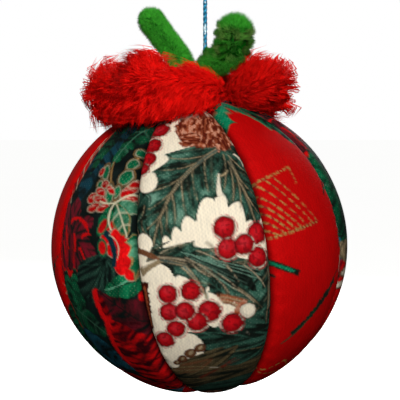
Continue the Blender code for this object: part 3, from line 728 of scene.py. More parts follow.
    # the sprig: green cells in gold and pale lines above, red ones to the left, leaves below
    rings = ((GOLD * 0.6, 0.5), (night, 0.34), (PALE_LINE * 0.55, 0.17))
    cloth.stroke((10.6, 33), (6.8, 16.4), 0.5, GOLD, -1, 0.1, 0.5)
    cloth.stroke((2.8, 27.2), (7, 16.6), 0.45, GOLD * 0.8, -0.7, 0.2, 0.5)
    cloth.chart(cloth.oval, (
        ((8.6, 29.8), 0.95, 1.05, -10), ((8.2, 26.2), 1.1, 1.3, -12), ((7.9, 22.6), 1.5, 1.8, -14),
        ((6.7, 19.2), 0.8, 1.3, -6), ((1.6, 24.4), 0.9, 1.7, 16), ((1, 21.4), 0.7, 0.8, 16),
        ((4.8, 18.4), 0.9, 2.2, 8),
    ), green * 0.9, rings)
    for centre, wide, tall, turn in (
        ((0.2, 24.6), 0.6, 0.8, 0), ((2.7, 21.2), 0.9, 0.7, -20), ((2, 19.4), 1.3, 0.7, -30),
        ((-0.4, 18), 1.2, 0.9, 20), ((2.2, 17.6), 1.6, 0.6, -16), ((0.6, 15.8), 1.5, 0.7, 16),
        ((3.6, 15.6), 1.3, 0.6, 16), ((9.4, 19.2), 1.5, 0.8, 42), ((11, 21.6), 1.5, 0.6, 40),
        ((9.8, 17.2), 1.7, 0.6, 20), ((4.8, 19.8), 1.2, 0.45, -40),
    ):
        cloth.oval(centre, wide * 1.25, tall * 1.3, turn, red * 0.62, ((PALE_LINE * 0.6, 0.16),))
        cloth.line(np.add(centre, (-0.7 * wide, 0.1)), np.add(centre, (0.7 * wide, 0.3)), 0.3,
                   CREAM * 0.8, 0.2, 0.5)
    leaf((7, 16.4), (14, 14.4), 1.4, green * 0.7, FLOWER_MINT * 0.5, 0.4, 0, PALE_LINE * 0.7)
    leaf((7.4, 16.2), (10.8, 8.8), 1.8, green * 0.6, FLOWER_MINT * 0.5, 0.35, 0.2, GOLD * 0.7,
         PALE_LINE * 0.8)
    leaf((6.8, 16.2), (2.8, 9), 1.5, night, green, 0.6, -0.8)
    cloth.oval((4.3, 11.4), 1, 1.7, -32, red * 0.75, ((green * 1.1, 0.34),))
    cloth.stroke((6.9, 16.6), (6.8, 10.4), 0.55, PALE_LINE, -1.1, 0.2, 0.4)
    cloth.stroke((6.8, 16.4), (13.4, 19), 0.4, PALE_LINE, 0.5, 0.2, 0.4)
    cloth.stroke((6.8, 16.6), (2.4, 17.2), 0.4, PALE_LINE, 0.3, 0.2, 0.4)


def print_poinsettia_right(cloth):
    """The dark cotton as it is cut for the gore at the right: a tan leaf with cream buds and a red
    petal below them fill the strip that shows at the ball's edge."""
    print_poinsettia(cloth)
    cloth.soft_leaf((-4, -72), (-3, -27), 9, FLOWER_RED * 0.55, FLOWER_RED * 0.85, 0.75, 0, start=8)
    cloth.soft_leaf((-6, -9), (-4, -27), 6, NIGHT, FLOWER_GREEN * 0.5, 0.4)
    cloth.soft_leaf((-12, -24.4), (5, -30), 2.4, LEAF_DARK, VEIN_TAN * 0.8, 0.45, 0.3)
    for centre, wide, tall in (((-4, -31.6), 4, 1.2), ((-7, -34.7), 2.4, 0.8)):
        cloth.oval(centre, wide, tall, 0, CREAM * 0.8, ((TWIG_BROWN * 0.5, 0.35),))


def print_red(cloth):
    """Holiday red cotton with a few scattered motifs."""
    dark = LEAF_DARK
    cloth.dye *= (1 + 0.05 * cloth.blot)[:, None]
    # the leaf end and needles at the head, and the spray along the right seam
    cloth.soft_leaf((2.6, 49), (-7, 33.8), ((-4, 47), (-6.6, 41.6), (-8.2, 38.2), (2.6, 41.8),
                                            (-2.8, 39.4), (-3.6, 35.4)), BAR_GREEN * 0.9,
                    BAR_GREEN * 1.35, 0.5, 0, dark, None, 0.3, 2)
    cloth.needles((-1, 44), -46, 36, 9, 20, dark, BAR_GREEN)
    cloth.soft_leaf((4, 46), (9.4, 24.6), 2.2, dark, BAR_GREEN * 0.7, 0.3, -0.6)
    cloth.chart(cloth.stroke, (
        ((0, 41.4), (4.6, 31), 0.9, BAR_GREEN), ((3.6, 38), (12.2, 24.4), 1.5, dark),
        ((6, 34), (12.8, 20), 0.7, BAR_GREEN * 0.6), ((9.6, 29), (12, 18.4), 1.2, dark),
        ((13.6, 17.6), (10.4, 11.2), 0.9, dark), ((14.2, 14), (11.4, 12.6), 0.8, BAR_GREEN * 0.6),
        ((14, 8), (13.2, -2), 1.4, dark * 2), ((14, 2), (13.4, -6), 0.6, VEIN_TAN * 0.8),
        ((9.6, -9), (2, -16.4), 1.6, dark * 2.4), ((7, -11.6), (-4, -20), 2, dark * 1.6),
        ((3, -15), (-6, -22.4), 0.8, BAR_GREEN * 0.25), ((13.2, -4), (12.6, -8), 0.6, CREAM * 0.6),
        ((12.4, -14.4), (12, -17), 0.5, VEIN_TAN), ((14, 4), (13.8, 1), 0.6, CREAM * 0.7),
        ((9, -10), (12, -7), 0.6, dark * 2),
    ), 0.4, 0.4, 0.6)
    # the fan of dashed gold lines
    for base, tip, shown in (
        ((-11.4, 17.2), (0.9, 19.7), 0.9), ((0.9, 19.7), (0.9, 15.6), 0.6), ((4, 5.9), (-11.4, 4.4), 1),
    ):
        cloth.line(base, tip, 0.7, dark * 2, 0, 0.5 * shown)
        cloth.dashes(base, tip, 0.42, DASH_GOLD * shown + HOLIDAY_RED * (1 - shown), 1.15, 0.6)
    for start, end, period, shown in (
        ((-11.4, 6.8), (-8.4, 4.8), 1.9, 1), ((-11.4, 9), (-6.6, 4.9), 2.3, 1),
        ((-11.4, 11.2), (-4.9, 5), 1.7, 1), ((-11.4, 13.4), (-3.2, 5.1), 2.6, 0.95),
        ((-11.2, 15.6), (-1.5, 5.2), 2, 0.9), ((-9.8, 17.2), (0.3, 5.4), 2.9, 0.75),
        ((-7.4, 17.9), (2.2, 5.7), 2.2, 0.75), ((-5, 18), (3.9, 6), 2.7, 0.7),
    ):
        cloth.line(start, end, 0.44, dark * 3, 0, 0.65 * shown)
        cloth.dashes(start, end, 0.3, DASH_GOLD * 1.1 * shown + HOLIDAY_RED * (1 - shown), period, 0.6)
    # the dark leaf along the right seam, and the short bars
    cloth.stroke((-13.6, 0.2), (-4.2, -4.5), 1.5, dark, 0, 0.1)
    cloth.stroke((-13.4, 0.1), (-5.6, -3.8), 0.7, BAR_GREEN, 0, 0.2)
    cloth.stroke((-13.6, -2.2), (-10.2, -4.4), 0.8, dark * 1.4, 0, 0.3, 0.5)
    # the leaves and dashes of the lower cut
    cloth.soft_leaf((14.6, -17), (8, -46), 4, NIGHT, FLOWER_GREEN * 0.7, 0.4, 0.8)
    for base, tip in (((-8, -34), (-1, -30)), ((-1, -30), (5, -37)), ((5, -37), (-8, -34))):
        cloth.dashes(base, tip, 0.5, DASH_GOLD)
    cloth.holly_leaf((4, -40), (-2, -52), ((-2.6, -42), (-4, -47), (5.6, -46), (3, -50)), 0.4)
    cloth.needles((3, -38), -70, 40, 7, 12, dark, BAR_GREEN)


PRINTS = {
    "holly": (print_holly, CREAM, 11),
    "poinsettia": (print_poinsettia, NIGHT * 1.5, 12),
    "poinsettia_right": (print_poinsettia_right, NIGHT * 1.5, 12),
    "red": (print_red, HOLIDAY_RED, 13),
}


def printed_cotton(thread):
    """Quilting cotton, plain woven and printed. The weave gives a fine even grain and no shine;
    the dye sits in the threads, so each print shows through the grain. Real threads are
    0.3 mm apart and drawn 0.5 mm apart, so that they show."""
    material, tree, shader = new_material("Printed quilting cotton")
    dye = node(tree, "Attribute", attribute_name="dye")
    place = node(tree, "UVMap", uv_map="cloth")
    # half a turn of sine for each thread: its sign tells warp from weft, its size is the thread's height
    turn = math.pi * MM / thread
    scaled = node(tree, "VectorMath", {0: place, 1: (turn, turn, 0)}, operation="MULTIPLY")
    wave = node(tree, "VectorMath", {0: scaled}, operation="SINE")
    parts = node(tree, "SeparateXYZ", {0: wave})
    weave = maths(tree, "MULTIPLY", parts.outputs[0], parts.outputs[1])
    crown = maths(tree, "ABSOLUTE", weave)
    # slubs: thick and thin places along the warp
    drawn = node(tree, "VectorMath", {0: place, 1: (2.4, 0.35, 1)}, operation="MULTIPLY")
    slub = node(tree, "TexNoise", {"Vector": drawn, "Scale": 1.0, "Detail": 2.0})
    tone = ranged(tree, weave, -1.0, 1.0, 0.95, 1.04)
    uneven = ranged(tree, slub, 0.3, 0.7, 0.9, 1.08)
    grain = maths(tree, "MULTIPLY", tone, uneven)
    printed = node(tree, "VectorMath", {0: dye, 3: grain}, operation="SCALE")
    # bare flecks where a thread stands too high for the ink: they show on the green dyes
    high = ranged(tree, weave, 0.3, 1.0, 0.0, 0.09)
    patchy = ranged(tree, slub, 0.42, 0.6, 0.0, 1.0)
    channels = node(tree, "SeparateXYZ", {0: dye})
    green = ranged(tree, channels.outputs[1], 0.01, 0.12, 0.0, 1.0)
    bare = maths(tree, "MULTIPLY", high, patchy)
    bare = maths(tree, "MULTIPLY", bare, green)
    pale = ranged(tree, channels.outputs[1], 0.2, 0.5, 1.0, 0.0)
    bare = maths(tree, "MULTIPLY", bare, pale)
    fleck = node(tree, "VectorMath", {0: (1.0, 0.9, 0.72), 3: bare}, operation="SCALE")
    shown = node(tree, "VectorMath", {0: printed, 1: fleck}, operation="ADD")
    height = maths(tree, "ADD", crown, slub)
    bump = node(tree, "Bump", {"Height": height, "Strength": 0.3, "Distance": 0.07 * MM})
    node(tree, shader, {
        "Base Color": shown, "Normal": bump, "Roughness": 0.8, "IOR": 1.45, "Specular IOR Level": 0.06,
    })
    return material


def gore_rows(spacing):
    """Polar angles from pole to pole: coarse under the ruff, even where the cloth shows."""
    fine = int(math.radians(124.0) * BALL_RADIUS / spacing)
    return np.radians(np.concatenate((
        np.linspace(0, 32, 10, endpoint=False),
        np.linspace(32, 156, fine, endpoint=False),
        np.linspace(156, 180, max(12, fine // 8)),
    )))


def gore_form(left, width, spacing, settings):
    """One gore round the ball's own centre and axis. Its skin is the ball's radius less a dip that
    fades out from each seam, with a tuck close to the seam, small puckers across it and slow lumps;
    its sides go in along the seams and an inner skin closes it. Rows run from pole to pole, and
    columns crowd towards the seams. Returns the points, the triangles and, for each point, its
    polar angle and its share of the way across."""
    polar = gore_rows(spacing)
    columns = int(width * BALL_RADIUS / spacing)
    across = np.linspace(0, 1, columns + 1)
    across = across - COLUMN_CROWDING * np.sin(2 * math.pi * across) / (2 * math.pi)
    theta, share = np.meshgrid(polar, across, indexing="ij")
    level = np.sin(theta)
    reach = BALL_RADIUS * level * (np.minimum(share, 1 - share) * width)
    ball = on_sphere(BALL_RADIUS, theta, left + share * width).reshape(-1, 3)
    pucker = noise(ball * (1, 1, 2.2), PUCKER_GRAIN, 51).reshape(theta.shape)
    lumps = noise(ball, LUMP_GRAIN, 52).reshape(theta.shape)
    radius = BALL_RADIUS - SEAM_DEPTH * np.exp(-reach / SEAM_REACH)
    radius -= settings.tuck_depth * np.exp(-reach / TUCK_REACH)
    radius += settings.pucker * pucker * fade(reach - PUCKER_PLACE, PUCKER_SPREAD) * level
    radius += settings.lumps * lumps * (1 - np.exp(-reach / LUMP_START)) * level
    skin = on_sphere(radius, theta, left + share * width)
    walls = [skin[:, -1:] * depth for depth in WALL_DEPTHS]
    walls += [skin[:, :1] * depth for depth in reversed(WALL_DEPTHS)]
    points = np.concatenate([skin] + walls, axis=1)
    middle = left + width / 2
    points = points + on_sphere(settings.seam_gap / 2 / math.sin(width / 2), math.pi / 2, middle)

    # point numbers: one at each pole for the skin and for each ring of the walls
    rows, total = points.shape[:2]
    index = np.arange(rows * total).reshape(rows, total)
    for row in (0, -1):
        index[row, : columns + 1] = index[row, 0]
        index[row, columns + 1] = index[row, columns + 4]
        index[row, columns + 2] = index[row, columns + 3]
    used, faces = used_points(grid_triangles(index, True))
    theta = np.repeat(polar[:, None], total, axis=1)
    share = np.concatenate((share, np.ones((rows, 2)), np.zeros((rows, 2))), axis=1)
    # rows go down and columns go right, so the triangles are turned round to face out
    return points.reshape(-1, 3)[used], faces[:, ::-1], theta.ravel()[used], share.ravel()[used]


def add_gore(name, seam, width, print_name, turned, slid, moved, step, settings, material):
    """One gore on the leaning ball, with the print laid over its flat cloth and a painted shade in its
    seams.
    """
    left, width = math.radians(seam), math.radians(width)
    points, faces, theta, share = gore_form(left, width, step * MM * settings.mesh_step, settings)
    a = BALL_RADIUS * np.sin(theta) * ((share - 0.5) * width + math.radians(slid)) / MM
    b = BALL_RADIUS * (math.pi / 2 - theta) / MM
    paint, ground, seed = PRINTS[print_name]
    cloth = PrintedCloth(turned * a, turned * b + moved, ground, seed)
    paint(cloth)
    edge = np.minimum(share, 1 - share) * width * BALL_RADIUS * np.sin(theta)
    # painted shade: the cloth's dye is darkened close to each seam, where the tuck's shadow falls
    cloth.dye *= (1 - settings.painted_seam_shade * fade(edge, PAINTED_SHADE_REACH))[:, None]

    c, s = math.cos(AXIS_LEAN), math.sin(AXIS_LEAN)
    x, y, z = points.T
    placed = np.stack((c * x + s * z, y, c * z - s * x), -1) + BALL_CENTRE
    # a print's own cut for one gore is still the same cotton
    piece = add_piece(name + "_cloth", placed, faces, material, [name], clamp(cloth.dye),
                      np.stack((a, b), -1))


# Fur and pile

def spikes(roots, middles, tips, thickness, side):
    """Thin closed three-sided strands, one for each root: rings at the root and at each middle,
    then a point. middles is (count, rings, 3), and thickness is the radius at the root. Returns
    the points, the triangles and the share of the way to the tip at each point."""
    count, rings = len(roots), middles.shape[1] + 1
    line = np.concatenate((roots[:, None], middles, tips[:, None]), axis=1)
    ahead = unit(line[:, 1:] - line[:, :-1])
    first = unit(np.cross(ahead, side[:, None]))
    second = np.cross(ahead, first)
    shares = np.arange(rings) / rings
    radius = thickness[:, None, None] * (1 - 0.75 * shares**1.5)[None, :, None]
    corners = []
    for turn in (0, 2 * math.pi / 3, 4 * math.pi / 3):
        corners.append(line[:, :rings] + radius * (first * math.cos(turn) + second * math.sin(turn)))
    ring_points = np.stack(corners, axis=2).reshape(count, rings * 3, 3)
    points = np.concatenate((ring_points, tips[:, None]), axis=1)
    tip = rings * 3
    pattern = [(0, 2, 1)]
    for ring in range(rings - 1):
        for corner in range(3):
            low, beyond = ring * 3 + corner, ring * 3 + (corner + 1) % 3
            pattern += [(low, beyond, beyond + 3), (low, beyond + 3, low + 3)]
    last = (rings - 1) * 3
    pattern += [(last + corner, last + (corner + 1) % 3, tip) for corner in range(3)]
    faces = np.array(pattern)[None] + (np.arange(count) * (tip + 1))[:, None, None]
    share = np.append(np.repeat(shares, 3), 1.0)
    return points.reshape(-1, 3), faces.reshape(-1, 3), np.tile(share, count)


def turned_out(ways, from_middle):
    """Each direction, turned round where it points back at the middle."""
    return np.where(np.sum(ways * from_middle, -1, keepdims=True) < 0, -ways, ways)


def nearest_tuft(roots, middles):
    """The number of the tuft middle nearest to each root, some thousands of roots at a time."""
    owner = np.empty(len(roots), int)
    for start in range(0, len(roots), 4000):
        part = roots[start:start + 4000]
        owner[start:start + 4000] = ((part[:, None] - middles[None]) ** 2).sum(-1).argmin(1)
    return owner


def tuft_tips(owner, tips, tufts):
    """The mean of the tips in each strand's own tuft."""
    total = np.stack([np.bincount(owner, tips[:, axis], tufts) for axis in range(3)], -1)
    return (total / np.maximum(np.bincount(owner, minlength=tufts), 1)[:, None])[owner]


def fibre(name, scale, detail, low, high, look):
    """A material in each strand's own dye, made lighter and darker in fine streaks. The scale is
    in turns for each metre."""
    material, tree, shader = new_material(name)
    dye = node(tree, "Attribute", attribute_name="dye")
    place = node(tree, "TexCoord").outputs["Object"]
    streak = node(tree, "TexNoise", {"Vector": place, "Scale": scale, "Detail": detail})
    tone = ranged(tree, streak, 0.3, 0.7, low, high)
    shown = node(tree, "VectorMath", {0: dye, 3: tone}, operation="SCALE")
    node(tree, shader, {"Base Color": shown, "IOR": 1.45, **look})
    if "Sheen Weight" in look:
        node(tree, shader, {"Sheen Tint": shown})
    return material


def fur_material():
    """Acrylic fur: long fine pile with a soft shine along each strand, dark between the tufts, partly from
    painted shade at the roots in the strands' dye.
    """
    return fibre("Long pile acrylic fur", 900.0, 3.0, 0.92, 1.06, {
        "Sheen Weight": 0.5, "Sheen Roughness": 0.6, "Roughness": 0.6, "Specular IOR Level": 0.05,
    })


def chenille_material():
    """Rayon chenille: short dense pile on a twisted wire, soft and velvety, its dye painted lighter at its
    tips and darker at its roots, as painted light and shade in the pile.
    """
    return fibre("Rayon chenille pile", 1400.0, 2.0, 0.7, 1.28,
                 {"Roughness": 0.65, "Specular IOR Level": 0.06})


def ruff_point(azimuth, angle, inset):
    """A point of the strip's rounded section, at an azimuth in degrees and an angle round it, set in
    by a length; the section eases from one station to the next and closes round at both ends."""
    place = np.interp(-azimuth, -RUFF_STATIONS[:, 0], np.arange(len(RUFF_STATIONS)))
    low = np.clip(np.floor(place).astype(int), 0, len(RUFF_STATIONS) - 2)
    ease = place - low
    ease = (ease * ease * (3 - 2 * ease))[..., None]
    sizes = RUFF_STATIONS[low, 1:] + (RUFF_STATIONS[low + 1, 1:] - RUFF_STATIONS[low, 1:]) * ease
    inner, foot, brim, crest = np.moveaxis(sizes * MM, -1, 0)
    to_end = np.minimum(RUFF_STATIONS[0, 0] - azimuth, azimuth - RUFF_STATIONS[-1, 0])
    close = np.sqrt(clamp(1 - (1 - clamp(to_end / RUFF_END_TURN)) ** 2))
    shrink = close * (1 - inset / (6 * MM))
    across = np.sign(np.cos(angle)) * np.abs(np.cos(angle)) ** RUFF_SQUARENESS * shrink
    rise = np.sign(np.sin(angle)) * np.abs(np.sin(angle)) ** RUFF_SQUARENESS * shrink
    height = (rise + 1) / 2
    inside = inner + RUFF_FUNNEL * height
    outside = foot + (brim - foot) * height
    radius = inside + (outside - inside) * (across + 1) / 2
    floor = np.sqrt((BALL_RADIUS + RUFF_SEAT_GAP) ** 2 - radius**2)
    up = floor + (crest - floor) * height
    turn = np.radians(azimuth)
    return np.stack((radius * np.sin(turn), -radius * np.cos(turn), up), -1) + BALL_CENTRE


def fur_roots(settings, dice):
    """Roots spread evenly over the strip's skin, fewer underneath: the azimuth, the angle round the
    section, the place, the way along the strip and the way straight out at each."""
    tries, depth = settings.strands * 5, settings.skin_depth
    azimuth = dice.uniform(RUFF_STATIONS[-1, 0] + 1, RUFF_STATIONS[0, 0] - 1, tries)
    angle = dice.uniform(-0.5 * math.pi, 1.5 * math.pi, tries)
    root = ruff_point(azimuth, angle, depth)
    along = (ruff_point(azimuth - 0.5, angle, depth) - root) / math.radians(0.5)
    around = (ruff_point(azimuth, angle + 0.01, depth) - root) / 0.01
    area = np.linalg.norm(np.cross(along, around), axis=-1)
    hidden = np.where(np.sin(angle) < -0.55, 0.4, 1.0)
    kept = dice.uniform(0, 1, tries) < area * hidden / np.percentile(area, 97)
    kept &= np.cumsum(kept) <= settings.strands
    azimuth, angle, root = azimuth[kept], angle[kept], root[kept]
    along, around = unit(along[kept]), unit(around[kept])
    core = ruff_point(azimuth, angle, 5.9 * MM)
    return azimuth, angle, root, along, turned_out(unit(np.cross(around, along)), root - core)


def fur_places(azimuth, angle):
    """How far each strand belongs to each place where the pile changes, from 0 to 1."""
    at = SimpleNamespace(side=np.cos(angle), high=np.sin(angle))
    for name, (middle, width) in FUR_PLACES.items():
        setattr(at, name, fade(azimuth - middle, width))
    at.upper, at.outside = clamp(at.high), clamp(at.side + 0.2)
    at.foot = clamp(-at.high * 1.6) * at.outside
    at.right_lobe = clamp((-230 - azimuth) / 20)
    at.ends = at.left_end + at.right_end
    at.peak = (at.back_left + 0.6 * at.back_right) * at.upper
    at.crest = (at.front_left + 0.6 * at.front_right) * at.upper
    return at


def fur_comb(at, azimuth, along, outward, whim, dice, settings):
    """The way each strand is combed: along the strip, up on its upper half, down on its lower half
    and out at the ruff's left and right. Along the foot the pile lies out over the cloth, and in
    front it hangs down."""
    turn = np.radians(azimuth)
    outer = np.stack((np.sin(turn), -np.cos(turn), np.zeros(len(turn))), -1)
    up = np.array((0.0, 0.0, 1.0))
    side, high, right_lobe, ends, foot, front = (
        values[:, None] for values in (at.side, at.high, at.right_lobe, at.ends, at.foot, at.front)
    )
    comb = along * (0.6 - 1.5 * right_lobe) * (1 - 0.3 * ends) + (0.35 + 0.28 * ends) * outer * side
    comb += up * (1.25 * high - 0.25 + 0.25 * right_lobe) * clamp(side + 0.3)
    comb += 0.75 * foot * outer - 0.3 * front * along - 0.35 * front * up * clamp(side)
    stray = 0.8 * whim[:, :3] + 0.6 * dice.normal(0, 1, along.shape)
    comb += settings.disorder * (0.8 + 0.2 * ends) * stray
    comb -= outward * np.sum(comb * outward, -1, keepdims=True)
    return unit(comb)


def fur_lift(at, whim, dice):
    """How far each strand stands up from the skin: more at the ruff's left and right, on the front
    crests and the back peaks and at the strip's two ends."""
    lift = 0.36 - 0.06 * at.front + (0.12 * at.right_lobe - 0.12 * (1 - at.right_lobe)) * at.upper
    lift += 0.45 * at.left_end * at.outside * clamp(at.high + 0.5) + 0.3 * at.right_end * at.outside
    lift += 0.6 * at.peak + 0.8 * at.crest
    lift += 0.3 * at.strip_end + 0.2 * at.strip_start
    return np.clip(lift + 0.12 * whim[:, 3] + 0.1 * dice.normal(0, 1, len(lift)), 0.1, 1.35)[:, None]


def fur_size(at, azimuth, whim, dice, settings):
    """How long each strand is: longer at the upper left, on the crests and peaks and over the cloth
    at the back, shorter in front, beside the stems, at the right and at the strip's two ends."""
    size = settings.strand_length * (1 + 0.16 * dice.normal(0, 1, len(azimuth)) + 0.12 * whim[:, 3])
    size *= 1 + 0.5 * at.left_end * at.outside * clamp(at.high * 2 + 0.6) + 0.75 * at.peak
    size *= 1 - 0.35 * at.left_dip * at.upper + 0.5 * at.crest
    size *= 1 - 0.35 * at.left_end * clamp(at.high * 2 - 0.6) * (1 - 0.5 * at.outside)
    size *= 1 + 0.16 * at.foot * (1 - at.right_end)
    size *= 1 - 0.35 * at.left_foot * clamp(-at.high * 3 + 0.2)
    size *= 1 - 0.24 * at.front * (1 - at.foot)
    size *= 1 - 0.3 * at.right_lobe * at.outside * (1 - at.right_end)
    size *= 1 - 0.16 * at.right_end * at.outside
    size *= 1 - 0.4 * at.right_end * at.upper**2
    size *= 1 + 0.4 * at.ends * at.outside * clamp(whim[:, 3] - 0.6)
    size *= 1 - 0.45 * at.stems * at.upper
    size *= np.clip((azimuth - RUFF_STATIONS[-1, 0]) / 10, 0.75, 1)
    size *= np.clip((RUFF_STATIONS[0, 0] - azimuth) / 22, 0.6, 1)
    return np.clip(size, 1.6 * MM, 10 * MM)[:, None]


def fur_strands(settings):
    """Each strand leaves its root along the skin's outward direction and bends into the way the
    pile is combed. Its tip is drawn towards the middle of its own tuft. Returns the points,
    triangles, dye and the azimuth of each triangle."""
    dice = np.random.default_rng(61)
    azimuth, angle, root, along, outward = fur_roots(settings, dice)
    count = len(root)
    owner = nearest_tuft(root, root[dice.choice(count, settings.tufts, replace=False)])
    whim = dice.normal(0, 1, (settings.tufts, 5))[owner]
    at = fur_places(azimuth, angle)
    comb = fur_comb(at, azimuth, along, outward, whim, dice, settings)
    lift = fur_lift(at, whim, dice)
    size = fur_size(at, azimuth, whim, dice, settings)
    tip = root + size * (0.5 * lift * outward + 0.84 * comb)
    pull = settings.tuft_pull + 0.22 * whim[:, 4] + 0.45 * at.ends * at.outside
    pull = np.clip(pull, 0.05, 0.85)[:, None]
    tip += pull * (tuft_tips(owner, tip, settings.tufts) - tip)
    bend = root + size * (0.5 * lift * outward + 0.3 * comb) + 0.3 * pull * (tip - root - 0.84 * size * comb)
    thickness = settings.strand_thickness * (0.75 + 0.5 * dice.uniform(0, 1, count)) / 2
    points, faces, share = spikes(root, bend[:, None], tip, thickness, outward)

    each = len(share) // count
    # painted shade: each strand's dye runs from the darker root colour to the tip colour, so the pile is
    # darker deep down where shadow falls
    tone = 0.6 + 0.1 * dice.normal(0, 1, count) + 0.04 * whim[:, 3] + 0.1 * noise(root, 6 * MM, 62)
    tone = clamp(np.repeat(tone, each) + 0.5 * share)[:, None]
    dark, light = np.array(settings.fur_dark), np.array(settings.fur_light)
    # painted shade: the fur's dye is darkened in the hollow at the front right, where the two ends meet
    hollow = np.repeat(at.hollow_end + at.hollow_start, each)[:, None]
    dye = (dark + (light - dark) * tone) * (1 - 0.35 * hollow)
    return points, faces, dye, np.repeat(azimuth, len(faces) // count)


def stem_route(name):
    """Centre points and radii along a stem, a smooth curve through the route's own points, and the
    length along it at each."""
    route = np.array(STEM_ROUTES[name]) * MM
    ends = np.concatenate(([2 * route[0] - route[1]], route, [2 * route[-1] - route[-2]]))
    fine = []
    t = np.linspace(0, 1, 24, endpoint=False)[:, None]
    for before, start, end, after in zip(ends, ends[1:], ends[2:], ends[3:]):
        once = (end - before) * t
        twice = (2 * before - 5 * start + 4 * end - after) * t**2
        fine.append(0.5 * (2 * start + once + twice + (3 * start - before - 3 * end + after) * t**3))
    fine = np.concatenate(fine + [route[-1:]])
    step = np.linalg.norm(np.diff(fine[:, :3], axis=0), axis=1)
    return fine, np.concatenate(([0.0], np.cumsum(step)))


def stem_centre(fine, reach, along):
    """The place on a stem's line at a length along it, from the ball's centre."""
    return np.stack([np.interp(along, reach, fine[:, axis]) for axis in range(3)], -1)


def stem_point(fine, reach, along, turn, inset):
    """A point on a stem's skin at a length along it and a turn round it, set in by a length. The
    skin closes round at both ends."""
    step = 0.4 * MM
    ahead = unit(stem_centre(fine, reach, along + step) - stem_centre(fine, reach, along - step))
    first = unit(np.cross(ahead, np.array((0.3, 1.0, 0.1))))
    second = np.cross(ahead, first)
    full = np.interp(along, reach, fine[:, 3]) - inset
    short = full - np.clip(np.minimum(along - inset, reach[-1] - inset - along), 0, full)
    radius = np.sqrt(np.clip(full**2 - short**2, 0, None))[..., None]
    way = first * np.cos(turn)[..., None] + second * np.sin(turn)[..., None]
    return stem_centre(fine, reach, along) + radius * way + BALL_CENTRE


def stem_core(fine, reach, depth):
    """The dark core that the pile stands on: its points and triangles."""
    near = depth + 0.01 * MM
    along, turn = np.meshgrid(
        np.linspace(near, reach[-1] - depth - 0.01 * MM, 90),
        np.linspace(0, 2 * math.pi, 28, endpoint=False), indexing="ij",
    )
    points = stem_point(fine, reach, along, turn, depth)
    used, faces = closed_form(points)
    return points.reshape(-1, 3)[used], faces[:, ::-1]


def stem_pile(fine, reach, depth, rough, settings):
    """The pile all round a stem: its points, triangles and dye. Its length and green change over
    patches. A rough stem's pile gathers in coarse curled tufts, with painted highlights in pale tips
    and painted shade in brown between them, but not on its smooth cap or its foot."""
    dice = np.random.default_rng(71 + int(rough * 10))
    count = settings.pile_count
    along = dice.uniform(depth, reach[-1] - depth, count)
    turn = dice.uniform(0, 2 * math.pi, count)
    root = stem_point(fine, reach, along, turn, depth)
    rise = stem_point(fine, reach, along + 0.05 * MM, turn, depth) - root
    outward = unit(np.cross(stem_point(fine, reach, along, turn + 0.02, depth) - root, rise))
    outward = turned_out(outward, root - (stem_centre(fine, reach, along) + BALL_CENTRE))
    owner = nearest_tuft(root, root[dice.choice(count, STEM_TUFTS, replace=False)])
    whim = dice.normal(0, 1, (STEM_TUFTS, 4))[owner]
    from_cap = np.linalg.norm(root - BALL_CENTRE - np.array(SMOOTH_CAP) * MM, axis=-1)
    from_foot = root[:, 2] - BALL_CENTRE[2] - 46 * MM
    coarse = rough * (clamp(from_cap / MM - 4.6) * np.clip(from_foot / (3 * MM), 0.15, 1))
    column = coarse[:, None]
    patch = noise(root, 1.3 * MM, 72)
    broad = noise(root, 3.4 * MM, 73)
    size = depth * (1.2 + 0.05 * patch + 0.13 * dice.normal(0, 1, count)) + 0.25 * MM * coarse * whim[:, 3]
    size += rough * 0.55 * MM * clamp(from_foot / (6 * MM))
    size = np.clip(size, 0.6 * MM, depth + 1.3 * MM)[:, None]
    stray = dice.normal(0, 1, (count, 3)) * (0.26 + 0.1 * column) + 0.4 * column * whim[:, :3]
    tip = root + size * unit(outward + stray + unit(rise) * 0.12)
    gathered = tuft_tips(owner, tip, STEM_TUFTS)
    tip += (0.05 + 0.42 * column) * (gathered + 0.3 * MM * outward * column - tip)
    thickness = settings.pile_thickness / 2 * dice.uniform(0.7, 1.3, count)
    points, faces, share = spikes(
        root - outward * 0.1 * MM, np.zeros((count, 0, 3)), tip, thickness, unit(rise)
    )

    each = len(share) // count
    dark, light = np.array(settings.pile_dark), np.array(settings.pile_light)
    # painted shade and light: the pile's dye runs from the dark green at its root to the light green at its
    # tip, and the curled stem, most of all its coarse tufts, is painted darker as shade
    tone = 0.26 - 0.16 * rough + 0.1 * dice.normal(0, 1, count) + 0.1 * patch + 0.14 * broad - 0.26 * coarse
    tone = clamp(np.repeat(tone, each) + (0.62 - 0.1 * rough) * share)[:, None]
    dye = dark + (light - dark) * tone
    # painted highlight on the longest tips of the coarse tufts, and painted shade in brown deep between them
    if rough:
        far = np.repeat(coarse * clamp(0.35 + 0.5 * whim[:, 0]), each) * share**2
        dye += (np.array(settings.pile_pale) - dye) * far[:, None]
        deep = np.repeat(coarse * clamp(0.65 + 0.4 * whim[:, 1]), each) * (1 - share)
        dye += (np.array(settings.pile_brown) - dye) * deep[:, None]
    return points, faces, dye


def add_stem(name, settings, material, rough):
    """A chenille stem: a dark core with short pile standing all round it, closed at both ends."""
    fine, reach = stem_route(name)
    depth = settings.pile_length * 0.8
    core, core_faces = stem_core(fine, reach, depth)
    pile, pile_faces, dye = stem_pile(fine, reach, depth, rough, settings)
    # painted shade: the core under the pile is dyed darker than the darkest pile
    core_dye = np.tile(np.array(settings.pile_dark) * 0.6, (len(core), 1))
    add_piece(
        name + "_pile", np.concatenate((core, pile)),
        np.concatenate((core_faces, pile_faces + len(core))), material, [name],
        clamp(np.concatenate((core_dye, dye))),
    )


# The cord

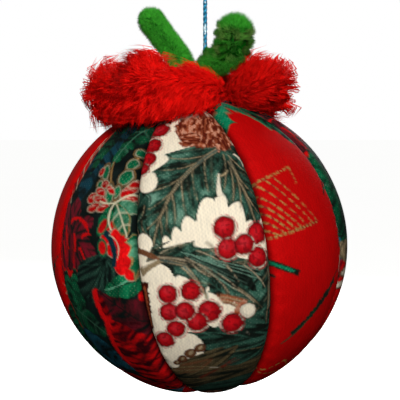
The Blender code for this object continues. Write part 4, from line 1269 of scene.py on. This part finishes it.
def twisted_tube(line, radius, pitch, sides):
    """A two-ply cord: its section has two round lobes that turn once in each pitch along the line,
    and it comes to a point at both ends. Returns the points, the triangles and the ply angle at
    each point."""
    ahead = unit(np.gradient(line, axis=0))
    first = unit(np.cross(ahead, np.array((0.0, 1.0, 0.0))))
    second = np.cross(ahead, first)
    step = np.linalg.norm(np.diff(line, axis=0), axis=1)
    run = np.concatenate(([0.0], np.cumsum(step)))[:, None]
    turn = np.linspace(0, 2 * math.pi, sides, endpoint=False)[None]
    ply = turn - 2 * math.pi * run / pitch
    reach = radius * (0.82 + 0.38 * np.abs(np.cos(ply)) ** 0.8)
    reach[[0, -1]] = 0.0
    points = line[:, None] + reach[..., None] * (
        first[:, None] * np.cos(turn)[..., None] + second[:, None] * np.sin(turn)[..., None]
    )
    used, faces = closed_form(points)
    return points.reshape(-1, 3)[used], faces, ply.ravel()[used]


def cord_dye(points, ply, settings):
    """Two plies, one blue and one paler, darkened towards the twist's grooves as painted shade, with painted
    glints: bright flecks laid into the dye where the foil turns to the light.
    """
    blue, pale = np.array(settings.cord_blue), np.array(settings.cord_pale_and_glint)
    ridge = np.abs(np.cos(ply))
    fleck = noise(points, 0.5 * MM, 81)
    # painted shade: the dye darkens towards the grooves between the plies
    dye = blue * (0.12 + 0.88 * ridge)[:, None]
    # one ply a little paler, and painted glints: bright flecks laid into the dye
    dye += (pale - dye) * clamp((0.5 + 0.5 * np.cos(ply)) * 0.3 + 2.4 * fleck - 0.45)[:, None]
    return dye


def add_twisted(name, line, radius, sides, replaced, settings, material):
    """A piece of the metallic cord along a line."""
    points, faces, ply = twisted_tube(line, radius, settings.pitch, sides)
    dye = cord_dye(points, ply, settings)
    return add_piece(name, points, faces, material, replaced, dye)


def cord_material():
    """Metallised yarn: foil-wrapped plies, bright and glittering, with the twist's grooves, whose darkness
    is partly painted shade in the dye.
    """
    material, tree, shader = new_material("Twisted metallised yarn")
    dye = node(tree, "Attribute", attribute_name="dye")
    place = node(tree, "TexCoord").outputs["Object"]
    glint = node(tree, "TexNoise", {"Vector": place, "Scale": 2600.0, "Detail": 1.0})
    rough = ranged(tree, glint, 0.35, 0.65, 0.18, 0.5)
    bump = node(tree, "Bump", {"Height": glint, "Strength": 0.6, "Distance": 0.05 * MM})
    node(tree, shader, {"Base Color": dye, "Roughness": rough, "Normal": bump, "Metallic": 0.45})
    return material


def cord_line():
    """The taut cord from the ball up to its knot."""
    heights = np.linspace(CORD_FOOT, CORD_TOP, 150)
    return np.stack((heights * 0, heights * 0, heights), -1)


def loop_line():
    """The loop: a tear shape that is pinched at the knot."""
    turn = np.linspace(0, 2 * math.pi, 170)
    height = CORD_DIAMETER / 2 - KNOT_HEIGHT
    return np.stack((
        LOOP_WIDTH / 2 * np.sin(turn) * np.abs(np.sin(turn / 2)) ** LOOP_PINCH,
        0.1 * MM * (1 - turn / math.pi),
        KNOT_HEIGHT + height * (1 - np.cos(turn)) / 2,
    ), -1)


def knot_line():
    """The knot: the cord wound in three close turns, a little fatter at the middle."""
    turn = np.linspace(0, 6 * math.pi, 150)
    swell = 0.72 * MM + 0.12 * MM * np.sin(turn / 6)
    return np.stack((
        swell * np.cos(turn), swell * np.sin(turn),
        KNOT_HEIGHT - 0.95 * MM + 1.9 * MM * turn / (6 * math.pi),
    ), -1)


# The stage

def add_camera(scene):
    """The photograph's view."""
    camera = bpy.data.objects.new("camera", bpy.data.cameras.new("camera"))
    camera.data.sensor_width = 36
    camera.data.lens = CAMERA_LENS
    camera.data.clip_start = 0.01
    camera.data.clip_end = 100
    across, up = math.cos(CAMERA_HEIGHT_ANGLE), math.sin(CAMERA_HEIGHT_ANGLE)
    place = np.array((CAMERA_SHIFT, -CAMERA_DISTANCE * across, CAMERA_DISTANCE * up))
    camera.location = Vector(BALL_CENTRE + place)
    camera.rotation_euler = (math.pi / 2 - CAMERA_HEIGHT_ANGLE + CAMERA_AIM, 0, 0)
    scene.collection.objects.link(camera)
    scene.camera = camera
    scene.view_settings.view_transform = "Standard"


def add_lights(scene, settings):
    """Soft round lights that face the ball, and a white world that only the camera sees."""
    for name, offset, size, power in (
        # name, place from the ball's centre, size, power
        ("key_light", (0.01, -0.32, 0.13), 0.18, settings.key_power * 0.116),
        ("fill_light", (0.60, -0.50, 0.12), 0.5, settings.fill_power * 0.12),
        ("left_light", (-0.60, 0.50, 0.25), 0.5, settings.fill_power * 0.6),
        ("back_light", (0.20, 0.75, 0.40), 0.6, settings.fill_power * 4.5),
        ("low_light", (0.0, -0.25, -0.60), 0.6, settings.fill_power * 0.02),
    ):
        lamp = bpy.data.lights.new(name, "AREA")
        lamp.shape = "DISK"
        lamp.size = size
        lamp.energy = power
        lamp_object = bpy.data.objects.new(name, lamp)
        lamp_object.location = Vector(BALL_CENTRE) + Vector(offset)
        lamp_object.rotation_mode = "QUATERNION"
        lamp_object.rotation_quaternion = Vector(offset).to_track_quat("Z", "Y")
        lamp_object.visible_camera = False
        scene.collection.objects.link(lamp_object)
    world = bpy.data.worlds.new("studio")
    scene.world = world
    world.use_nodes = True
    world.node_tree.nodes["Background"].inputs[0].default_value = (1, 1, 1, 1)
    world.cycles_visibility.diffuse = False
    world.cycles_visibility.glossy = False


def floor_material(settings):
    """Pale matt card, lit evenly from within, with a faint cloudiness."""
    material, tree, shader = new_material("Pale matt floor")
    place = node(tree, "TexCoord").outputs["Object"]
    cloud = node(tree, "TexNoise", {"Vector": place, "Scale": 3.0})
    pale = [float(v) for v in settings.floor_colour]
    mixed = node(tree, "MapRange", {0: cloud, 3: 0.99, 4: 1.0})
    shown = node(tree, "VectorMath", {0: pale, 3: mixed}, operation="SCALE")
    node(tree, shader, {
        "Base Color": shown, "Emission Color": shown, "Emission Strength": 1.0, "Roughness": 0.9,
    })
    return material


def add_floor(scene, settings):
    """A wide flat floor far below the ball."""
    side = np.linspace(-40, 40, 41)
    x, y = np.meshgrid(side, side, indexing="ij")
    points = np.stack((x, y, np.full_like(x, settings.floor_height)), -1)
    index = np.arange(x.size).reshape(x.shape)
    mesh = bpy.data.meshes.new("floor")
    mesh.from_pydata(points.reshape(-1, 3).tolist(), [], grid_triangles(index, False).tolist())
    mesh.materials.append(floor_material(settings))
    floor = bpy.data.objects.new("floor", mesh)
    floor.visible_diffuse = False
    floor.visible_glossy = False
    scene.collection.objects.link(floor)


# Settings

def number(name, words, default, **limits):
    return FloatProperty(name=name, description=words, default=default, **limits)


def length(name, words, default):
    return number(name, words, default, unit="LENGTH", precision=5)


def factor(name, words, default):
    return number(name, words, default, min=0, max=1, subtype="FACTOR")


def colour(name, words, code):
    return FloatVectorProperty(
        name=name, description=words, default=tuple(linear(code)), subtype="COLOR", size=3, min=0, max=1
    )


class ClothSettings(bpy.types.PropertyGroup):
    thread: length("Thread spacing", "Distance from one thread of the weave to the next", 0.5 * MM)
    tuck_depth: length("Tuck depth", "How much deeper the cloth goes right at a seam", 0.5 * MM)
    pucker: length("Pucker", "Height of the small puckers beside the seams", 0.22 * MM)
    lumps: length("Lumps", "Height of the slow lumps of the padding", 0.22 * MM)
    seam_gap: length("Seam gap", "Width of the slit between two gores", 0.1 * MM)
    mesh_step: number("Mesh step", "How many times coarser the gores' meshes are", 1.0, min=1)
    # painted shade: how much the dye is darkened in the seams, where shadow falls
    painted_seam_shade: factor("Seam shade", "How much darker the cloth is in the seam", 0.55)


class FurSettings(bpy.types.PropertyGroup):
    strands: IntProperty(name="Strands", description="Number of strands of fur", default=43000, min=100)
    tufts: IntProperty(name="Tufts", description="Number of tufts that they gather in", default=4600, min=10)
    strand_length: length("Strand length", "Usual length of a strand", 6.0 * MM)
    strand_thickness: length("Strand thickness", "Thickness of a strand at its root", 0.24 * MM)
    skin_depth: length("Skin depth", "How far the backing lies inside the strip's outline", 2.0 * MM)
    tuft_pull: factor("Tuft pull", "How far the tips gather to their tuft", 0.2)
    disorder: factor("Disorder", "How far strands and tufts stray from the comb", 0.24)
    # painted shade: the darker colour at the roots stands for the shadow deep in the pile
    fur_dark: colour("Fur dark", "Colour of the fur near its roots", "#e20a05")
    fur_light: colour("Fur light", "Colour of the fur at its tips", "#fb150e")


class StemSettings(bpy.types.PropertyGroup):
    pile_count: IntProperty(name="Pile", description="Strands of pile on each stem", default=19000, min=300)
    pile_length: length("Pile length", "Length of the pile", 1.8 * MM)
    pile_thickness: length("Pile thickness", "Thickness of each strand at its root", 0.16 * MM)
    # painted shade: the green between the pile stands for the shadow at the pile's roots
    pile_dark: colour("Pile dark", "Green between the pile", "#0d6d11")
    pile_light: colour("Pile light", "Green at the pile's tips", "#52c63c")
    # painted highlight: the pale colour laid on the longest tips of the coarse tufts
    pile_pale: colour("Pile pale", "Colour of the longest tips", "#7fa850")
    # painted shade: the brown laid deep between the coarse tufts
    pile_brown: colour("Pile brown", "Colour between the rough tufts", "#2c2a10")


class CordSettings(bpy.types.PropertyGroup):
    pitch: length("Twist pitch", "Length of one turn of the twist", 2.6 * MM)
    cord_blue: colour("Cord blue", "Colour of the blue ply", "#23a0cf")
    # painted glints: the pale colour also stands for the glints laid into the dye
    cord_pale_and_glint: colour("Cord pale", "Colour of the pale ply and of the glints", "#d8f4ff")


class StageSettings(bpy.types.PropertyGroup):
    floor_height: length("Floor height", "Height of the floor under the hanging ball", -0.30)
    key_power: number("Key power", "Power of the main light", 9.0, min=0, unit="POWER")
    fill_power: number("Fill power", "Power of the fill lights", 1.6, min=0, unit="POWER")
    floor_colour: colour("Floor colour", "Colour of the pale floor", "#fdfdfc")


# Operators

class CHRISTMASBALL_OT_stage(bpy.types.Operator):
    """Adds the camera, the soft studio lights and the pale floor"""

    bl_idname = "christmasball.stage"
    bl_label = "Stage"

    def execute(self, context):
        settings = context.scene.christmasball_stage
        add_camera(context.scene)
        add_lights(context.scene, settings)
        add_floor(context.scene, settings)
        return {"FINISHED"}


class CHRISTMASBALL_OT_cord(bpy.types.Operator):
    """Adds the taut twisted cord, its knot and its loop"""

    bl_idname = "christmasball.cord"
    bl_label = "Cord and loop"

    def execute(self, context):
        settings = context.scene.christmasball_cord
        look = settings, cord_material()
        cord = add_twisted("cord_twisted", cord_line(), CORD_DIAMETER / 2, 16, ["hanging_cord"], *look)
        loop = add_twisted("loop_twisted", loop_line(), CORD_DIAMETER / 2, 14, ["hanging_loop"], *look)
        knot = add_twisted("knot_wound", knot_line(), CORD_DIAMETER * 0.46, 12, [], *look)
        return {"FINISHED"}


class CHRISTMASBALL_OT_gores(bpy.types.Operator):
    """Adds the nine padded gores of printed cotton"""

    bl_idname = "christmasball.gores"
    bl_label = "Cloth gores"

    def execute(self, context):
        settings = context.scene.christmasball_cloth
        material = printed_cotton(settings.thread)
        for gore in GORES:
            add_gore(*gore, settings, material)
        return {"FINISHED"}


class CHRISTMASBALL_OT_ruff(bpy.types.Operator):
    """Adds the fur ruff: its backing and its pile"""

    bl_idname = "christmasball.ruff"
    bl_label = "Fur ruff"

    def execute(self, context):
        settings = context.scene.christmasball_fur
        material = fur_material()
        azimuth, angle = np.meshgrid(
            np.linspace(RUFF_STATIONS[0, 0], RUFF_STATIONS[-1, 0], 180),
            np.linspace(0, 2 * math.pi, 40, endpoint=False), indexing="ij",
        )
        points = ruff_point(azimuth, angle, settings.skin_depth * 0.9)
        used, faces = closed_form(points)
        # painted shade: the backing under the pile takes the root colour made darker still
        add_piece("ruff_backing", points.reshape(-1, 3)[used], faces, material, ["fur_ruff"],
                  np.tile(np.array(settings.fur_dark) * 0.8, (len(used), 1)))
        points, faces, dye, azimuth = fur_strands(settings)
        thirds = np.percentile(azimuth, (0, 33.3, 66.7, 100)) + (-1, 0, 0, 1)
        for name, low, high in zip(("right", "back", "front"), thirds, thirds[1:]):
            used, part = used_points(faces[(azimuth >= low) & (azimuth < high)])
            add_piece("ruff_fur_" + name, points[used], part, material, ["fur_ruff"],
                      clamp(dye[used]))
        return {"FINISHED"}


class CHRISTMASBALL_OT_stems(bpy.types.Operator):
    """Adds the two chenille stems"""

    bl_idname = "christmasball.stems"
    bl_label = "Chenille stems"

    def execute(self, context):
        settings = context.scene.christmasball_stem
        material = chenille_material()
        add_stem("stem_straight", settings, material, 0.0)
        add_stem("stem_curled", settings, material, 1.0)
        return {"FINISHED"}


class CHRISTMASBALL_PT_panel(bpy.types.Panel):
    bl_label = "Fabric Christmas ball"
    bl_idname = "CHRISTMASBALL_PT_panel"
    bl_space_type = "VIEW_3D"
    bl_region_type = "UI"
    bl_category = "Christmas ball"

    def draw(self, context):
        for operator, setting, group in STEPS:
            box = self.layout.box()
            box.operator(operator.bl_idname)
            for name in group.__annotations__:
                box.prop(getattr(context.scene, setting), name)


# Each operator with the name and the kind of its settings
STEPS = (
    (CHRISTMASBALL_OT_stage, "christmasball_stage", StageSettings),
    (CHRISTMASBALL_OT_cord, "christmasball_cord", CordSettings),
    (CHRISTMASBALL_OT_gores, "christmasball_cloth", ClothSettings),
    (CHRISTMASBALL_OT_ruff, "christmasball_fur", FurSettings),
    (CHRISTMASBALL_OT_stems, "christmasball_stem", StemSettings),
)


def register():
    for operator, setting, group in STEPS:
        bpy.utils.register_class(group)
        setattr(bpy.types.Scene, setting, PointerProperty(type=group))
        bpy.utils.register_class(operator)
    bpy.utils.register_class(CHRISTMASBALL_PT_panel)


def unregister():
    bpy.utils.unregister_class(CHRISTMASBALL_PT_panel)
    for operator, setting, group in reversed(STEPS):
        bpy.utils.unregister_class(operator)
        delattr(bpy.types.Scene, setting)
        bpy.utils.unregister_class(group)


def main():
    register()
    bpy.ops.christmasball.stage()
    bpy.ops.christmasball.cord()
    bpy.ops.christmasball.gores()
    bpy.ops.christmasball.ruff()
    bpy.ops.christmasball.stems()


if __name__ == "__main__":
    main()
